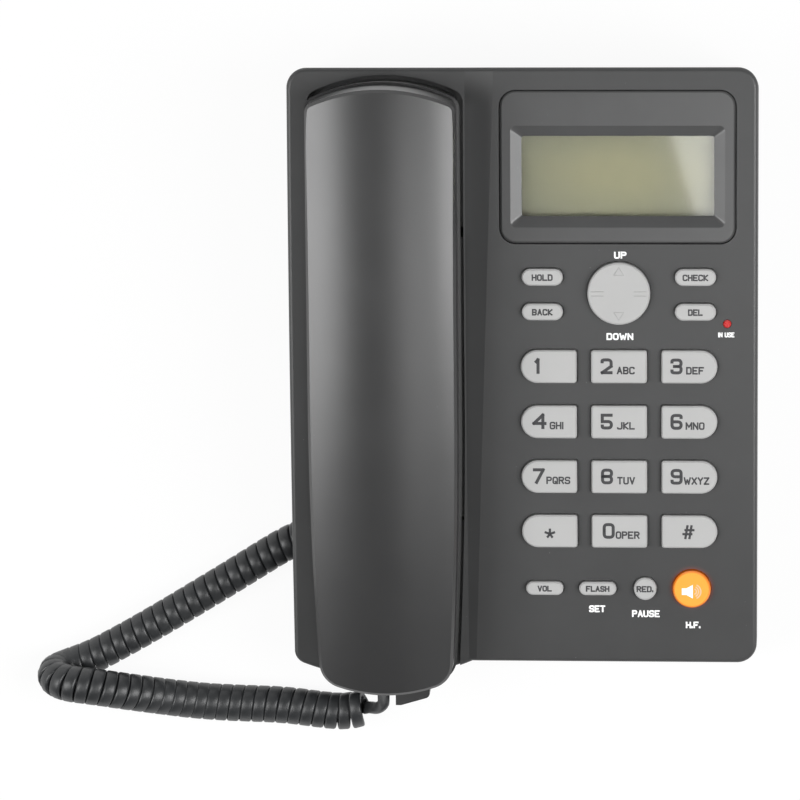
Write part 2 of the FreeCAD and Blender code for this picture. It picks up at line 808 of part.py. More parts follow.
def openings_tool():
    """Spaces for the keys, the disc, the lamp, the hook button and the speaker's slots."""
    body = new_body("openings", deck_frame(), piece=False)
    below, length = "-board_level + dome_height", "board_level - dome_height + deck_crown + 4"
    for column, kind in enumerate(("left", "middle", "right")):
        profile = sketch_on(body, f"{kind}_keys", level=below)
        key_shape(profile, kind, "key_gap", f"dial_x + {column - 1} * dial_pitch_x", "dial_v")
        opening = pad(body, f"{kind}_key_space", profile, length)
        row_pattern(body, profile, opening, f"{kind}_key_spaces")
    for name, x, v, kind in key_places():
        if kind in ("left", "middle", "right"):
            continue
        profile = sketch_on(body, name + "_plan", level=below)
        key_shape(profile, kind, "key_gap", x, v)
        pad(body, name + "_space", profile, length)
    for name, x, v, radius in (("disc", "dial_x", "disc_v", "disc_radius + key_gap"),
                               ("lamp", "lamp_x", "lamp_v", "lamp_radius + key_gap / 2")):
        profile = sketch_on(body, name + "_plan", level=below)
        ring(profile, x, v, radius)
        pad(body, name + "_space", profile, length)
    button = sketch_on(body, "hook_plan", level="-well_depth - base_wall - 1")
    cap_outline(button, "hook_width", "hook_depth", "key_gap", "hook_corner", x="handset_x",
                y="hook_v")
    pad(body, "hook_space", button, "base_wall + 2")
    for number, share in enumerate((0.5, 0.8, 1, 1, 1, 0.8, 0.5), start=-3):
        plan = sketch_on(body, f"slot_{number + 4}_plan", level="-trough_depth - base_wall - 1")
        cap_outline(plan, f"slot_length * {share}", "slot_width", round_left=True,
                    round_right=True, x="handset_x", y=f"speaker_v + {number} * slot_pitch")
        pad(body, f"slot_{number + 4}", plan, "base_wall + 2")
    doc.recompute()
    return body


BOARD_ROWS = ("board_post_rear", "board_post_middle", "board_post_front")
BOARD_POSTS = [(x, row) for row in BOARD_ROWS
               for x in ("board_left + post_inset", "board_right - post_inset")]


def add_board_posts(body):
    """Posts that carry the keypad board, each with a pilot hole for its screw."""
    for row in BOARD_ROWS:
        plan = deck_sketch(body, f"{row}_plan", "-board_level")
        for x, v in BOARD_POSTS:
            if v == row:
                prism(plan, x, v, "post_radius")
        pad(body, f"{row}s", plan, f"board_level + {rise(row)} - base_wall / 2")
    pilots = deck_sketch(body, "post_pilots", "-board_level")
    for x, v in BOARD_POSTS:
        ring(pilots, x, v, "pilot_radius")
    pocket(body, "post_holes", pilots, "board_screw_length - board_thickness + seat_gap", up=True)


CASE_SCREWS = [
    ("-base_width / 2 + boss_inset_ear", "rear_wall - boss_inset_rear", "well"),
    ("base_width / 2 - boss_inset", "rear_wall - boss_inset_rear", "tray"),
    ("-base_width / 2 + boss_inset_mouth", "front_wall + boss_inset_front", "well"),
    ("base_width / 2 - boss_inset", "front_wall + boss_inset_front", "deck"),
]


def ceiling(y, kind):
    """Height at y of the middle of the wall over a boss: the well's floor, the tray or the deck."""
    along = f"((({y}) - mid_y) / cos(deck_angle))"
    levels = {
        "well": "(-well_depth - base_wall / 2)",
        "tray": f"({rise(along)} - panel_thickness - base_wall / 2)",
        "deck": f"({rise(along)} - base_wall / 2)",
    }
    return f"(mid_z + (({y}) - mid_y) * tan(deck_angle) + {levels[kind]} / cos(deck_angle))"


def add_case_bosses(body):
    """Six-sided bosses that the floor's screws drive into."""
    for number, (x, y, kind) in enumerate(CASE_SCREWS, start=1):
        plan = sketch_on(body, f"boss_{number}_plan", level="cover_top")
        prism(plan, x, y, "boss_radius")
        pad(body, f"boss_{number}", plan, f"{ceiling(y, kind)} - cover_top")
    pilots = sketch_on(body, "boss_pilots", level="cover_top")
    for x, y, _ in CASE_SCREWS:
        ring(pilots, x, y, "case_pilot_radius")
    pocket(body, "boss_holes", pilots, "case_screw_length", up=True)


def hook_switch_top():
    """Level of the hook switch's upper face."""
    return ("(-well_depth - base_wall - hook_travel - hook_gap - hook_flange - rest_gap)")


def build_top_housing():
    """The upper half of the base's case."""
    body = new_body("top_housing")
    plan = sketch_on(body, "plan", level="foot_height")
    base_outline(plan)
    pad(body, "block", plan, "mid_z + base_length / 2")
    round_base(body, "0")
    deck_cutter(body, "deck", "0")
    combine(body, "field_step", step_tool("step_space", "0"))
    rim = rim_test(body.Tip.Shape)
    dress(body, "rim", "Fillet", "edge_radius", rim)
    combine(body, "walls", build_housing_hollow())
    combine(body, "cradle", cradle_tool("cradle_space", "0"))
    combine(body, "display_recess", display_tool("display_space", "panel_thickness", "panel_gap"))
    view = new_body("view_space", surface_frame("panel_x", "panel_v"), piece=False)
    view_plan = sketch_on(view, "view_plan", level="-panel_thickness - base_wall - 1")
    cap_outline(view_plan, "view_width + view_room", "view_depth + view_room", "0", "window_corner",
                y="view_shift")
    pad(view, "view_block", view_plan, "base_wall + 2")
    combine(body, "view_opening", view)
    bay = sketch_on(body, "bay_plan")
    box_outline(bay, "-base_width", "bay_inner", "mid_y + bay_middle - bay_width / 2",
                "mid_y + bay_middle + bay_width / 2")
    pocket(body, "bay", bay, "bay_roof", up=True)
    port = sketch_on(body, "cord_port_plan", "YZ_Plane", "bay_inner - 1")
    box_outline(port, "mid_y + base_plug_y - jack_width / 2 - jack_gap",
                "mid_y + base_plug_y + jack_width / 2 + jack_gap",
                "foot_height - 1", "base_plug_z + jack_height / 2 + jack_gap")
    pocket(body, "cord_port", port, "base_wall + 2", up=True)
    line = sketch_on(body, "line_port_plan", "XZ_Plane", "-rear_wall - 1")
    box_outline(line, "line_jack_x - line_jack_width / 2 - jack_gap",
                "line_jack_x + line_jack_width / 2 + jack_gap",
                "main_board_top - jack_gap", "main_board_top + line_jack_height + jack_gap")
    pocket(body, "line_port", line, "base_wall + 2", up=True)
    add_board_posts(body)
    add_case_bosses(body)
    add_hook_parts(body)
    combine(body, "openings_cut", openings_tool())
    sound = sketch_on(body, "mic_hole_plan", "XZ_Plane", "-front_wall + 1")
    ring(sound, "base_mic_x", "base_mic_z", "sound_hole")
    pocket(body, "mic_hole", sound, "base_wall + 2")
    return body


def rim_test(shape):
    """Test for the edges between the deck and the outer walls."""
    chosen = []
    for edge in shape.Edges:
        faces = shape.ancestorsOfType(edge, Part.Face)
        slopes = sorted(abs(normal_z(face)) for face in faces)
        if len(slopes) == 2 and slopes[0] < 0.02 and slopes[1] > 0.7 and edge.CenterOfMass.z > 10:
            chosen.append(edge.hashCode())
    return lambda edge: edge.hashCode() in chosen


def add_hook_parts(body):
    """The two posts under the ear well that carry the hook switch."""
    posts = deck_sketch(body, "hook_posts_plan", hook_switch_top())
    for side in ("-", "+"):
        prism(posts, f"handset_x {side} (hook_switch_width / 2 - post_radius)", "hook_v", "post_radius")
    pad(body, "hook_posts", posts, f"-(well_depth + base_wall / 2) - {hook_switch_top()}")


def chamfer_top(body, name, size):
    """Bevel the edges round the highest flat face of a body."""
    doc.recompute()
    top = max(vertex.Z for vertex in body.Tip.Shape.Vertexes)

    def test(edge):
        level = all(abs(vertex.Z - top) < 1e-4 for vertex in edge.Vertexes)
        return level and abs(edge.CenterOfMass.z - top) < 1e-4

    return dress(body, name, "Chamfer", size, test)


def screw_group(label, spots, radius, length, head_radius, head_height, frame, up=True):
    """Identical screws as one group; each stands on its head's seat and points up or down."""
    screws = []
    turn = Rotation() if up else Rotation(Vector(1, 0, 0), 180)
    for number, (x, y, z) in enumerate(spots, start=1):
        head = doc.addObject("Part::Cylinder", f"{label}_head_{number}")
        tie(head, Radius=head_radius, Height=head_height)
        head.Placement = Placement(Vector(0, 0, -value(head_height)), Rotation())
        shank = doc.addObject("Part::Prism", f"{label}_shank_{number}")
        tie(shank, Circumradius=radius, Height=length)
        screw = doc.addObject("Part::Fuse", f"{label}_{number}")
        screw.Base, screw.Tool = head, shank
        seat = Vector(value(x), value(y), value(z))
        screw.Placement = frame * Placement(seat, turn)
        screws.append(screw)
    group = doc.addObject("Part::Compound", label)
    group.Label = label
    group.Links = screws
    parts.append(group)
    return group


# Floor of the base

MAIN_POSTS = [(x, y) for y in ("rear_wall - main_board_inset - main_post_inset",
                               "rear_wall - main_board_inset - main_board_depth + main_post_inset")
              for x in ("main_board_left + main_post_inset", "main_board_right - main_post_inset")]
MAIN_BOARD_LOW = "main_board_top - board_thickness"


def foot_places():
    """The four places of the feet."""
    return [(f"{side} (base_width / 2 - foot_inset_x)", y)
            for side in ("-", "") for y in ("rear_wall - foot_inset_rear", "front_wall + foot_inset_front")]


def build_bottom_cover():
    """The floor of the base: a tray inside the housing's walls."""
    body = new_body("bottom_cover")
    inset = "base_wall + cover_gap"
    plan = sketch_on(body, "floor_plan", level="foot_height")
    base_outline(plan, inset)
    pad(body, "floor", plan, "cover_thickness + cover_rim_height")
    round_base(body, inset)
    hollow = new_body("cover_hollow", piece=False)
    inner = sketch_on(hollow, "cover_hollow_plan", level="cover_top")
    base_outline(inner, f"{inset} + cover_rim")
    pad(hollow, "cover_space", inner, "2 * cover_rim_height")
    combine(body, "tray", hollow)
    bay = sketch_on(body, "cover_bay_plan")
    box_outline(bay, "-base_width", f"bay_inner + ({inset})",
                f"mid_y + bay_middle - bay_width / 2 - ({inset})",
                f"mid_y + bay_middle + bay_width / 2 + ({inset})")
    pocket(body, "bay_cut", bay, "bay_roof", up=True)
    posts = sketch_on(body, "main_posts_plan", level="cover_top - cover_thickness / 2")
    for x, y in MAIN_POSTS:
        prism(posts, x, y, "boss_radius")
    pad(body, "main_posts", posts, f"{MAIN_BOARD_LOW} - cover_top + cover_thickness / 2")
    holes = sketch_on(body, "floor_holes_plan", level="foot_height")
    for x, y, _ in CASE_SCREWS:
        ring(holes, x, y, "case_screw_radius + screw_gap")
    pocket(body, "screw_holes", holes, "cover_thickness", up=True)
    heads = sketch_on(body, "head_seats_plan", level="foot_height")
    for x, y, _ in CASE_SCREWS:
        ring(heads, x, y, "case_head_radius + seat_gap")
    pocket(body, "head_seats", heads, "case_head_seat", up=True)
    pilots = sketch_on(body, "main_pilots_plan", level=MAIN_BOARD_LOW)
    for x, y in MAIN_POSTS:
        ring(pilots, x, y, "pilot_radius")
    pocket(body, "main_pilots", pilots, f"{MAIN_BOARD_LOW} - cover_top")
    feet = sketch_on(body, "foot_seats_plan", level="foot_height")
    for x, y in foot_places():
        ring(feet, x, y, "foot_radius + foot_gap")
    pocket(body, "foot_seats", feet, "foot_recess", up=True)
    for name, side in (("front", "-"), ("rear", "+")):
        y = f"mid_y {side} keyhole_spacing / 2"
        key = sketch_on(body, f"keyhole_{name}_plan", level="foot_height")
        ring(key, "0", y, "keyhole_radius")
        pocket(body, f"keyhole_{name}", key, "cover_thickness", up=True)
        slot = sketch_on(body, f"slot_{name}_plan", level="foot_height")
        box_outline(slot, "-keyhole_slot", "keyhole_slot", y, f"{y} + keyhole_run")
        pocket(body, f"hang_slot_{name}", slot, "cover_thickness", up=True)
    return body


def build_feet():
    """Four round rubber feet, set in the floor's recesses."""
    feet = []
    for number, (x, y) in enumerate(foot_places(), start=1):
        foot = doc.addObject("Part::Cone", f"foot_{number}")
        tie(foot, Radius1="foot_radius - foot_taper", Radius2="foot_radius",
            Height="foot_height + foot_recess")
        foot.Placement = Placement(Vector(value(x), value(y), 0), Rotation())
        feet.append(foot)
    group = doc.addObject("Part::Compound", "rubber_feet")
    group.Label = "rubber_feet"
    group.Links = feet
    parts.append(group)


def build_case_screws():
    """Screws that hold the floor to the housing's bosses."""
    spots = [(x, y, "foot_height + case_head_seat") for x, y, _ in CASE_SCREWS]
    screw_group("base_screws", spots, "case_screw_radius", "case_screw_length",
                "case_head_radius", "case_head_height", Placement())


# Display

def build_display():
    """Panel with its sunk bevel, the clear window, the display and its holder."""
    place = surface_frame("panel_x", "panel_v")
    panel = new_body("display_panel", place)
    plan = sketch_on(panel, "panel_plan", level="-panel_thickness")
    cap_outline(plan, "panel_width", "panel_depth", "0", "panel_radius")
    pad(panel, "plate", plan, "panel_thickness")
    chamfer_top(panel, "panel_edge", "panel_chamfer")
    doc.recompute()
    low = sketch_on(panel, "view_edge", level="-bevel_drop")
    cap_outline(low, "view_width", "view_depth", "0", "view_corner", y="view_shift")
    high = sketch_on(panel, "bevel_edge", level="0.01")
    cap_outline(high, "bevel_width", "bevel_depth", "0", "bevel_corner", y="view_shift")
    bevel = panel.newObject("PartDesign::SubtractiveLoft", "bevel")
    bevel.Profile = low
    bevel.Sections = [high]
    bevel.Ruled = True
    doc.recompute()
    view = sketch_on(panel, "view_plan", level="0")
    cap_outline(view, "view_width", "view_depth", "0", "view_corner", y="view_shift")
    pocket(panel, "view", view, "panel_thickness")
    seat = sketch_on(panel, "window_seat_plan", level="-panel_thickness")
    cap_outline(seat, "view_width + 2 * window_lap", "view_depth + 2 * window_lap", "window_fit",
                "window_corner", y="view_shift")
    pocket(panel, "window_seat", seat, "window_thickness", up=True)

    window = new_body("display_window", place)
    plan = sketch_on(window, "window_plan", level="-panel_thickness")
    cap_outline(plan, "view_width + 2 * window_lap", "view_depth + 2 * window_lap", "0",
                "window_corner", y="view_shift")
    pad(window, "pane", plan, "window_thickness")

    tray = "panel_thickness + base_wall"
    glass = new_body("lcd_panel", place)
    plan = sketch_on(glass, "lcd_plan", level=f"-({tray}) - lcd_thickness")
    cap_outline(plan, "view_width + 2 * lcd_lap", "view_depth + 2 * lcd_lap", "0", "view_corner",
                y="view_shift")
    pad(glass, "lcd_glass", plan, "lcd_thickness - lcd_face_gap")
    step = sketch_on(glass, "lcd_step_plan", level=f"-({tray}) - lcd_face_gap")
    box_outline(step, "-(view_width / 2 + lcd_lap) - 1", "view_width / 2 + lcd_lap + 1",
                "view_shift + view_depth / 2 + lcd_lap - lcd_ledge",
                "view_shift + view_depth / 2 + lcd_lap + 1")
    pocket(glass, "contact_ledge", step, "lcd_thickness / 2")

    holder = new_body("lcd_holder", place)
    plan = sketch_on(holder, "holder_plan", level=f"-({tray}) - lcd_thickness - holder_floor")
    cap_outline(plan, "view_width + 2 * lcd_lap", "view_depth + 2 * lcd_lap", "holder_wall",
                "window_corner", y="view_shift")
    pad(holder, "frame", plan, "lcd_thickness + holder_floor")
    seat = sketch_on(holder, "lcd_seat_plan", level=f"-({tray})")
    cap_outline(seat, "view_width + 2 * lcd_lap", "view_depth + 2 * lcd_lap", "lcd_fit",
                "view_corner", y="view_shift")
    pocket(holder, "lcd_seat", seat, "lcd_thickness")
    window = sketch_on(holder, "holder_window_plan", level=f"-({tray})")
    cap_outline(window, "view_width", "view_depth", "0", "window_corner", y="view_shift")
    pocket(holder, "holder_window", window, "lcd_thickness + holder_floor")


# Keys and what lies behind them

def build_keys():
    """Key caps with a catching flange and a stem over each dome."""
    for name, x, v, kind in key_places():
        body = new_body(name, deck_frame(x, v, rise(v)))
        if kind in KEY_RADII:
            reach = KEY_RADII[kind]
        else:
            reach = f"{KEY_SIZES[kind][1]} / 2"
        drop = f"(base_wall + flange_gap + ({reach} + flange_lip) * abs({v}) / deck_radius)"
        plan = sketch_on(body, "cap_plan", level=f"-{drop} - 0.1")
        key_shape(plan, kind, "0")
        pad(body, "cap", plan, f"{drop} + 0.1 + key_rise")
        chamfer_top(body, "cap_edge", "key_chamfer")
        flange = sketch_on(body, "flange_plan", level=f"-{drop} - flange_thickness")
        key_shape(flange, kind, "flange_lip")
        pad(body, "flange", flange, "flange_thickness")
        stem = sketch_on(body, "stem_plan", level=f"stem_tip - {rise(v)}")
        box_outline(stem, "-stem_half", "stem_half", "-stem_half", "stem_half")
        pad(body, "stem", stem, f"{rise(v)} - stem_tip - {drop}")


def build_disc():
    """Rocking disc with a stem at its upper and lower end and a foot in its middle."""
    body = new_body("navigation_disc", deck_frame("dial_x", "disc_v", rise("disc_v")))
    flange_top = "-(base_wall + disc_tilt_room)"
    plan = sketch_on(body, "disc_plan", level=f"{flange_top} - 0.1")
    ring(plan, "0", "0", "disc_radius")
    pad(body, "disc", plan, f"disc_rise - ({flange_top}) + 0.1")
    chamfer_top(body, "disc_edge", "key_chamfer")
    flange = sketch_on(body, "disc_flange_plan", level=f"{flange_top} - flange_thickness")
    ring(flange, "0", "0", "disc_radius + flange_lip")
    pad(body, "disc_flange", flange, "flange_thickness")
    floor = f"(-board_level + membrane_thickness - {rise('disc_v')})"
    foot = sketch_on(body, "foot_plan", level=f"{floor} + disc_foot_gap")
    box_outline(foot, "-stem_half", "stem_half", "-stem_half", "stem_half")
    pad(body, "centre_foot", foot, f"{flange_top} - {floor} - disc_foot_gap")
    stems = sketch_on(body, "stems_plan", level=f"{floor} + dome_height + disc_dome_gap")
    for v in ("disc_stem_reach", "-disc_stem_reach"):
        box_outline(stems, "-stem_half", "stem_half", f"{v} - stem_half", f"{v} + stem_half")
    pad(body, "stems", stems, f"{flange_top} - {floor} - dome_height - disc_dome_gap")


def build_lamp():
    """Small lamp behind the deck, standing on the keypad board."""
    body = new_body("in_use_lamp", deck_frame("lamp_x", "lamp_v", rise("lamp_v")))
    floor = f"(-board_level - {rise('lamp_v')})"
    base = sketch_on(body, "lamp_base_plan", level=floor)
    ring(base, "0", "0", "lamp_radius + lamp_foot_lip")
    pad(body, "lamp_base", base, "lamp_foot_height")
    lens = sketch_on(body, "lens_plan", level=floor)
    ring(lens, "0", "0", "lamp_radius")
    pad(body, "lens", lens, f"lamp_rise - {floor}")
    chamfer_top(body, "lens_edge", "lamp_chamfer")


def build_keypad_board():
    """Contact board behind the keys, screwed to the housing's posts."""
    body = new_body("keypad_board", deck_frame())
    plan = sketch_on(body, "board_plan", level="-board_level - board_thickness")
    box_outline(plan, "board_left", "board_right", "board_front", "board_rear")
    pad(body, "board", plan, "board_thickness")
    holes = sketch_on(body, "board_holes_plan", level="-board_level")
    for x, v in BOARD_POSTS:
        ring(holes, x, v, "screw_radius + board_hole_gap")
    pocket(body, "board_holes", holes, "board_thickness")
    spots = [(x, v, "-board_level - board_thickness") for x, v in BOARD_POSTS]
    screw_group("keypad_board_screws", spots, "screw_radius", "board_screw_length",
                "screw_head_radius", "screw_head_height", deck_frame())


def build_membrane():
    """Rubber sheet on the keypad board, with a dome under each key."""
    body = new_body("keypad_membrane", deck_frame())
    plan = sketch_on(body, "sheet_plan", level="-board_level")
    side = "(board_right - post_inset - post_radius - cradle_gap - dial_x)"
    box_outline(plan, f"dial_x - {side}", f"dial_x + {side}",
                "lower_v - dome_radius - membrane_margin", "menu_v + dome_radius + membrane_margin")
    pad(body, "sheet", plan, "membrane_thickness")
    domes = sketch_on(body, "domes_plan", level="-board_level + membrane_thickness")
    for _, x, v, _ in key_places():
        prism(domes, x, v, "dome_radius")
    for reach in ("disc_stem_reach", "-disc_stem_reach"):
        prism(domes, "dial_x", f"disc_v + {reach}", "dome_radius")
    feature = pad(body, "domes", domes, "dome_height")
    feature.TaperAngle = -25


# Main board, sockets, hook and sound

def build_main_board():
    """Main circuit board on the floor's posts, with its larger parts."""
    body = new_body("main_board")
    plan = sketch_on(body, "main_plan", level=MAIN_BOARD_LOW)
    box_outline(plan, "main_board_left", "main_board_right",
                "rear_wall - main_board_inset - main_board_depth", "rear_wall - main_board_inset")
    pad(body, "main", plan, "board_thickness")
    chips = sketch_on(body, "chips_plan", level="main_board_top")
    box_outline(chips, "-10", "8", "mid_y + 34", "mid_y + 41")
    box_outline(chips, "18", "32", "mid_y + 46", "mid_y + 60")
    pad(body, "chips", chips, "chip_height")
    cans = sketch_on(body, "capacitors_plan", level="main_board_top")
    for x, y in (("-22", "mid_y + 84"), ("-10", "mid_y + 84"), ("50", "mid_y + 78")):
        ring(cans, x, y, "capacitor_radius")
    pad(body, "capacitors", cans, "capacitor_height")
    holes = sketch_on(body, "main_holes_plan", level="main_board_top")
    for x, y in MAIN_POSTS:
        ring(holes, x, y, "screw_radius + board_hole_gap")
    pocket(body, "main_holes", holes, "board_thickness")
    spots = [(x, y, "main_board_top") for x, y in MAIN_POSTS]
    screw_group("main_board_screws", spots, "screw_radius", "board_thickness + main_screw_reach",
                "screw_head_radius", "screw_head_height", Placement(), up=False)


def jack_body(label, place, width, height, length, port_width, port_height, port_depth):
    """Modular socket: its mouth is at the frame's origin and opens towards -x."""
    body = new_body(label, place)
    block = sketch_on(body, "block_plan", "YZ_Plane")
    box_outline(block, f"-({width}) / 2", f"({width}) / 2", f"-({height}) / 2", f"({height}) / 2")
    pad(body, "block", block, length)
    port = sketch_on(body, "port_plan", "YZ_Plane")
    half, low, high = f"({port_width}) / 2", f"-({port_height}) / 2", f"({port_height}) / 2"
    latch = f"({port_width}) / 5"
    closed(port, [
        (f"-{half}", high), (half, high), (half, low), (latch, low), (latch, f"{low} - latch_slot"),
        (f"-{latch}", f"{low} - latch_slot"), (f"-{latch}", low), (f"-{half}", low),
    ])
    pocket(body, "port", port, port_depth, up=True)
    return body


def plug_body(label, place):
    """Modular plug: its nose points along +x and its cord end is at the frame's origin."""
    body = new_body(label, place)
    block = sketch_on(body, "plug_plan", "YZ_Plane")
    box_outline(block, "-plug_width / 2", "plug_width / 2", "-plug_height / 2", "plug_height / 2")
    pad(body, "plug", block, "plug_length")
    waist = sketch_on(body, "contacts_plan", "XZ_Plane")
    box_outline(waist, "plug_length * 0.62", "plug_length + 1", "plug_height / 2 - contact_depth",
                "plug_height / 2 + 1")
    pocket(body, "contact_step", waist, "plug_width * 0.72", both_ways=True)
    latch = sketch_on(body, "latch_plan", "XZ_Plane")
    closed(latch, [
        ("plug_length * 0.25", "-plug_height / 2 - latch_drop"),
        ("plug_length", "-plug_height / 2 + latch_sink"),
        ("plug_length", "-plug_height / 2 + latch_sink + latch_nose"),
        ("plug_length * 0.25", "-plug_height / 2 - latch_drop + latch_thickness"),
    ])
    pad(body, "latch", latch, "plug_width / 3", both_ways=True)
    return body


def build_sockets():
    """Line socket in the rear wall and the handset cord's socket in the bay, with its plug."""
    rear = Placement(Vector(value("line_jack_x"), value("rear_wall - line_jack_sink"),
                            value("main_board_top + line_jack_height / 2")),
                     Rotation(Vector(0, 0, 1), -90))
    jack_body("line_jack", rear, "line_jack_width", "line_jack_height", "line_jack_length",
              "line_port_width", "line_port_height", "line_jack_length - line_port_floor")
    side = Placement(Vector(value("bay_inner"), value("mid_y + base_plug_y"), value("base_plug_z")),
                     Rotation())
    jack_body("base_cord_jack", side, "jack_width", "jack_height", "jack_length",
              "plug_width + plug_gap", "plug_height + plug_gap",
              "plug_length - plug_out + plug_end_gap")
    plug_body("base_plug", side * Placement(Vector(-value("plug_out"), 0, 0), Rotation()))


def build_hook():
    """Cradle button that the handset's ear cup presses, and the switch below it."""
    body = new_body("hook_plunger", deck_frame("handset_x", "hook_v"))
    flange_low = f"({hook_switch_top()} + rest_gap)"
    stem = sketch_on(body, "hook_plan", level=flange_low)
    cap_outline(stem, "hook_width", "hook_depth", "0", "hook_corner")
    pad(body, "hook_stem", stem, f"-well_depth - {flange_low}")
    chamfer_top(body, "hook_edge", "hook_chamfer")
    flange = sketch_on(body, "hook_flange_plan", level=flange_low)
    cap_outline(flange, "hook_width", "hook_depth", "hook_lip", "hook_corner")
    pad(body, "hook_flange", flange, "hook_flange")

    switch = new_body("hook_switch", deck_frame("handset_x", "hook_v"))
    case = sketch_on(switch, "switch_plan", level=f"{hook_switch_top()} - hook_switch_height")
    cap_outline(case, "hook_switch_width", "hook_switch_depth", "0", "hook_switch_corner")
    pad(switch, "switch_case", case, "hook_switch_height")


def revolved(label, place, corners):
    """A body turned about its own upright axis from a closed outline of radius and height."""
    body = new_body(label, place)
    section = sketch_on(body, label + "_section", "XZ_Plane")
    closed(section, corners)
    turn = body.newObject("PartDesign::Revolution", label + "_turn")
    turn.Profile = section
    turn.ReferenceAxis = (section, ["V_Axis"])
    return body


def sound_unit(label, ring_label, place, radius, depth, rim):
    """Round sound unit that lies under a wall at the frame's origin, and its clamping ring."""
    face, back = "-seat_gap", f"-seat_gap - {rim}"
    revolved(label, place, [
        ("0", face), (radius, face), (radius, back), (f"{radius} - 2", back),
        (f"{radius} * 0.55", f"-({depth}) * 0.6"), (f"{radius} * 0.55", f"-({depth})"),
        ("0", f"-({depth})"),
    ])
    inner, lip = f"{radius} + seat_gap", f"{radius} - ring_lip"
    outer = f"{radius} + seat_gap + ring_wall"
    under, low = f"-2 * seat_gap - {rim}", f"-2 * seat_gap - {rim} - ring_lip"
    revolved(ring_label, place, [
        (inner, "0"), (outer, "0"), (outer, low), (lip, low), (lip, under), (inner, under),
    ])


def build_speaker():
    """Loudspeaker under the trough's slots, and the ring that clamps it."""
    place = deck_frame("handset_x", "speaker_v", "-trough_depth - base_wall")
    sound_unit("loudspeaker", "speaker_ring", place, "speaker_radius", "speaker_depth", "speaker_rim")


def microphone_pair(label, boot_label, place):
    """Microphone capsule in its rubber boot; sound enters at the frame's origin from +z."""
    capsule = new_body(label, place)
    plan = sketch_on(capsule, "capsule_plan", level="-boot_wall - mic_length")
    ring(plan, "0", "0", "mic_radius")
    pad(capsule, "capsule", plan, "mic_length")
    boot = new_body(boot_label, place)
    outer = sketch_on(boot, "boot_plan", level="-boot_wall - mic_length")
    ring(outer, "0", "0", "mic_radius + boot_wall")
    pad(boot, "boot", outer, "mic_length + boot_wall")
    seat = sketch_on(boot, "boot_seat_plan", level="-boot_wall - mic_length")
    ring(seat, "0", "0", "mic_radius + boot_fit")
    pocket(boot, "boot_seat", seat, "mic_length", up=True)
    hole = sketch_on(boot, "boot_hole_plan")
    ring(hole, "0", "0", "boot_hole")
    pocket(boot, "boot_hole", hole, "boot_wall + 0.5")


def build_base_microphone():
    """Hands-free microphone behind the hole in the front wall."""
    seat = Vector(value("base_mic_x"), value("front_wall + base_wall + seat_gap"), value("base_mic_z"))
    place = Placement(seat, Rotation(Vector(1, 0, 0), 90))
    microphone_pair("base_microphone", "base_microphone_boot", place)


# Handset: every piece shares one frame on the handset's middle line

CUP_LOW = "(-well_depth + rest_gap)"
CUP_FLOOR = f"({CUP_LOW} + shell_wall)"
HANDSET_SCREWS = [
    ("-handset_screw_spread", "handset_screw_rear"), ("handset_screw_spread", "handset_screw_rear"),
    ("0", "handset_screw_front"),
]


def crown_tool(label, depth):
    """The space above the handset's crowned top, lowered by a depth."""
    body = new_body(label, Placement(Vector(0, 0, value("handset_top - handset_arch")), Rotation()),
                    piece=False)
    section = sketch_on(body, label + "_section", "XZ_Plane")
    level = f"(handset_arch - ({depth}))"
    across = "(((handset_width / 2)^2 + handset_crown^2) / (2 * handset_crown))"
    radius = f"({across} - ({depth}))"
    reach = "(handset_width / 2 + 4)"
    edge = f"({level} - {radius} + sqrt({radius}^2 - {reach}^2))"
    closed(section, [(f"-{reach}", edge), (reach, edge), (reach, f"{level} + 20"),
                     (f"-{reach}", f"{level} + 20")], arcs={0: (radius, -1)})
    turn = body.newObject("PartDesign::Revolution", label + "_turn")
    turn.Profile = section
    turn.ReferenceAxis = (section, ["H_Axis"])
    turn.Midplane = True
    turn.Angle = 14
    return body


def crown_level(x, v):
    """Level of the middle of the handset's top wall at a place."""
    across = "(((handset_width / 2)^2 + handset_crown^2) / (2 * handset_crown))"
    return (f"(handset_top - handset_arch + sqrt(handset_arch^2 - ({v})^2)"
            f" - {across} + sqrt({across}^2 - ({x})^2) - shell_wall / 2)")


def corners_at(spots, reach=0.05):
    """Test for slanted or upright edges that run up from or down to given places in plan."""

    def test(edge):
        ends = [vertex.Point for vertex in edge.Vertexes]
        if len(ends) != 2 or abs(ends[0].z - ends[1].z) < 5:
            return False
        return any(math.hypot(end.x - x, end.y - y) < reach for end in ends for x, y in spots)

    return test


def handset_block(body, grow, length, down, slope="0"):
    """Solid with the handset's plan from the split level, up or down."""
    plan = sketch_on(body, "handset_plan", level="split_level")
    half, top, nose, low = handset_outline(plan, grow)
    block = pad(body, "handset_block", plan, length, down=down)
    if slope != "0":
        tie(block, TaperAngle=f"-({slope})")
    rear, front = [(-half, top), (half, top)], [(-nose, low), (nose, low)]
    dress(body, "rear_corners", "Fillet", f"rear_corner + ({grow})", corners_at(rear))
    dress(body, "nose_corners", "Fillet", f"nose_corner + ({grow})", corners_at(front))


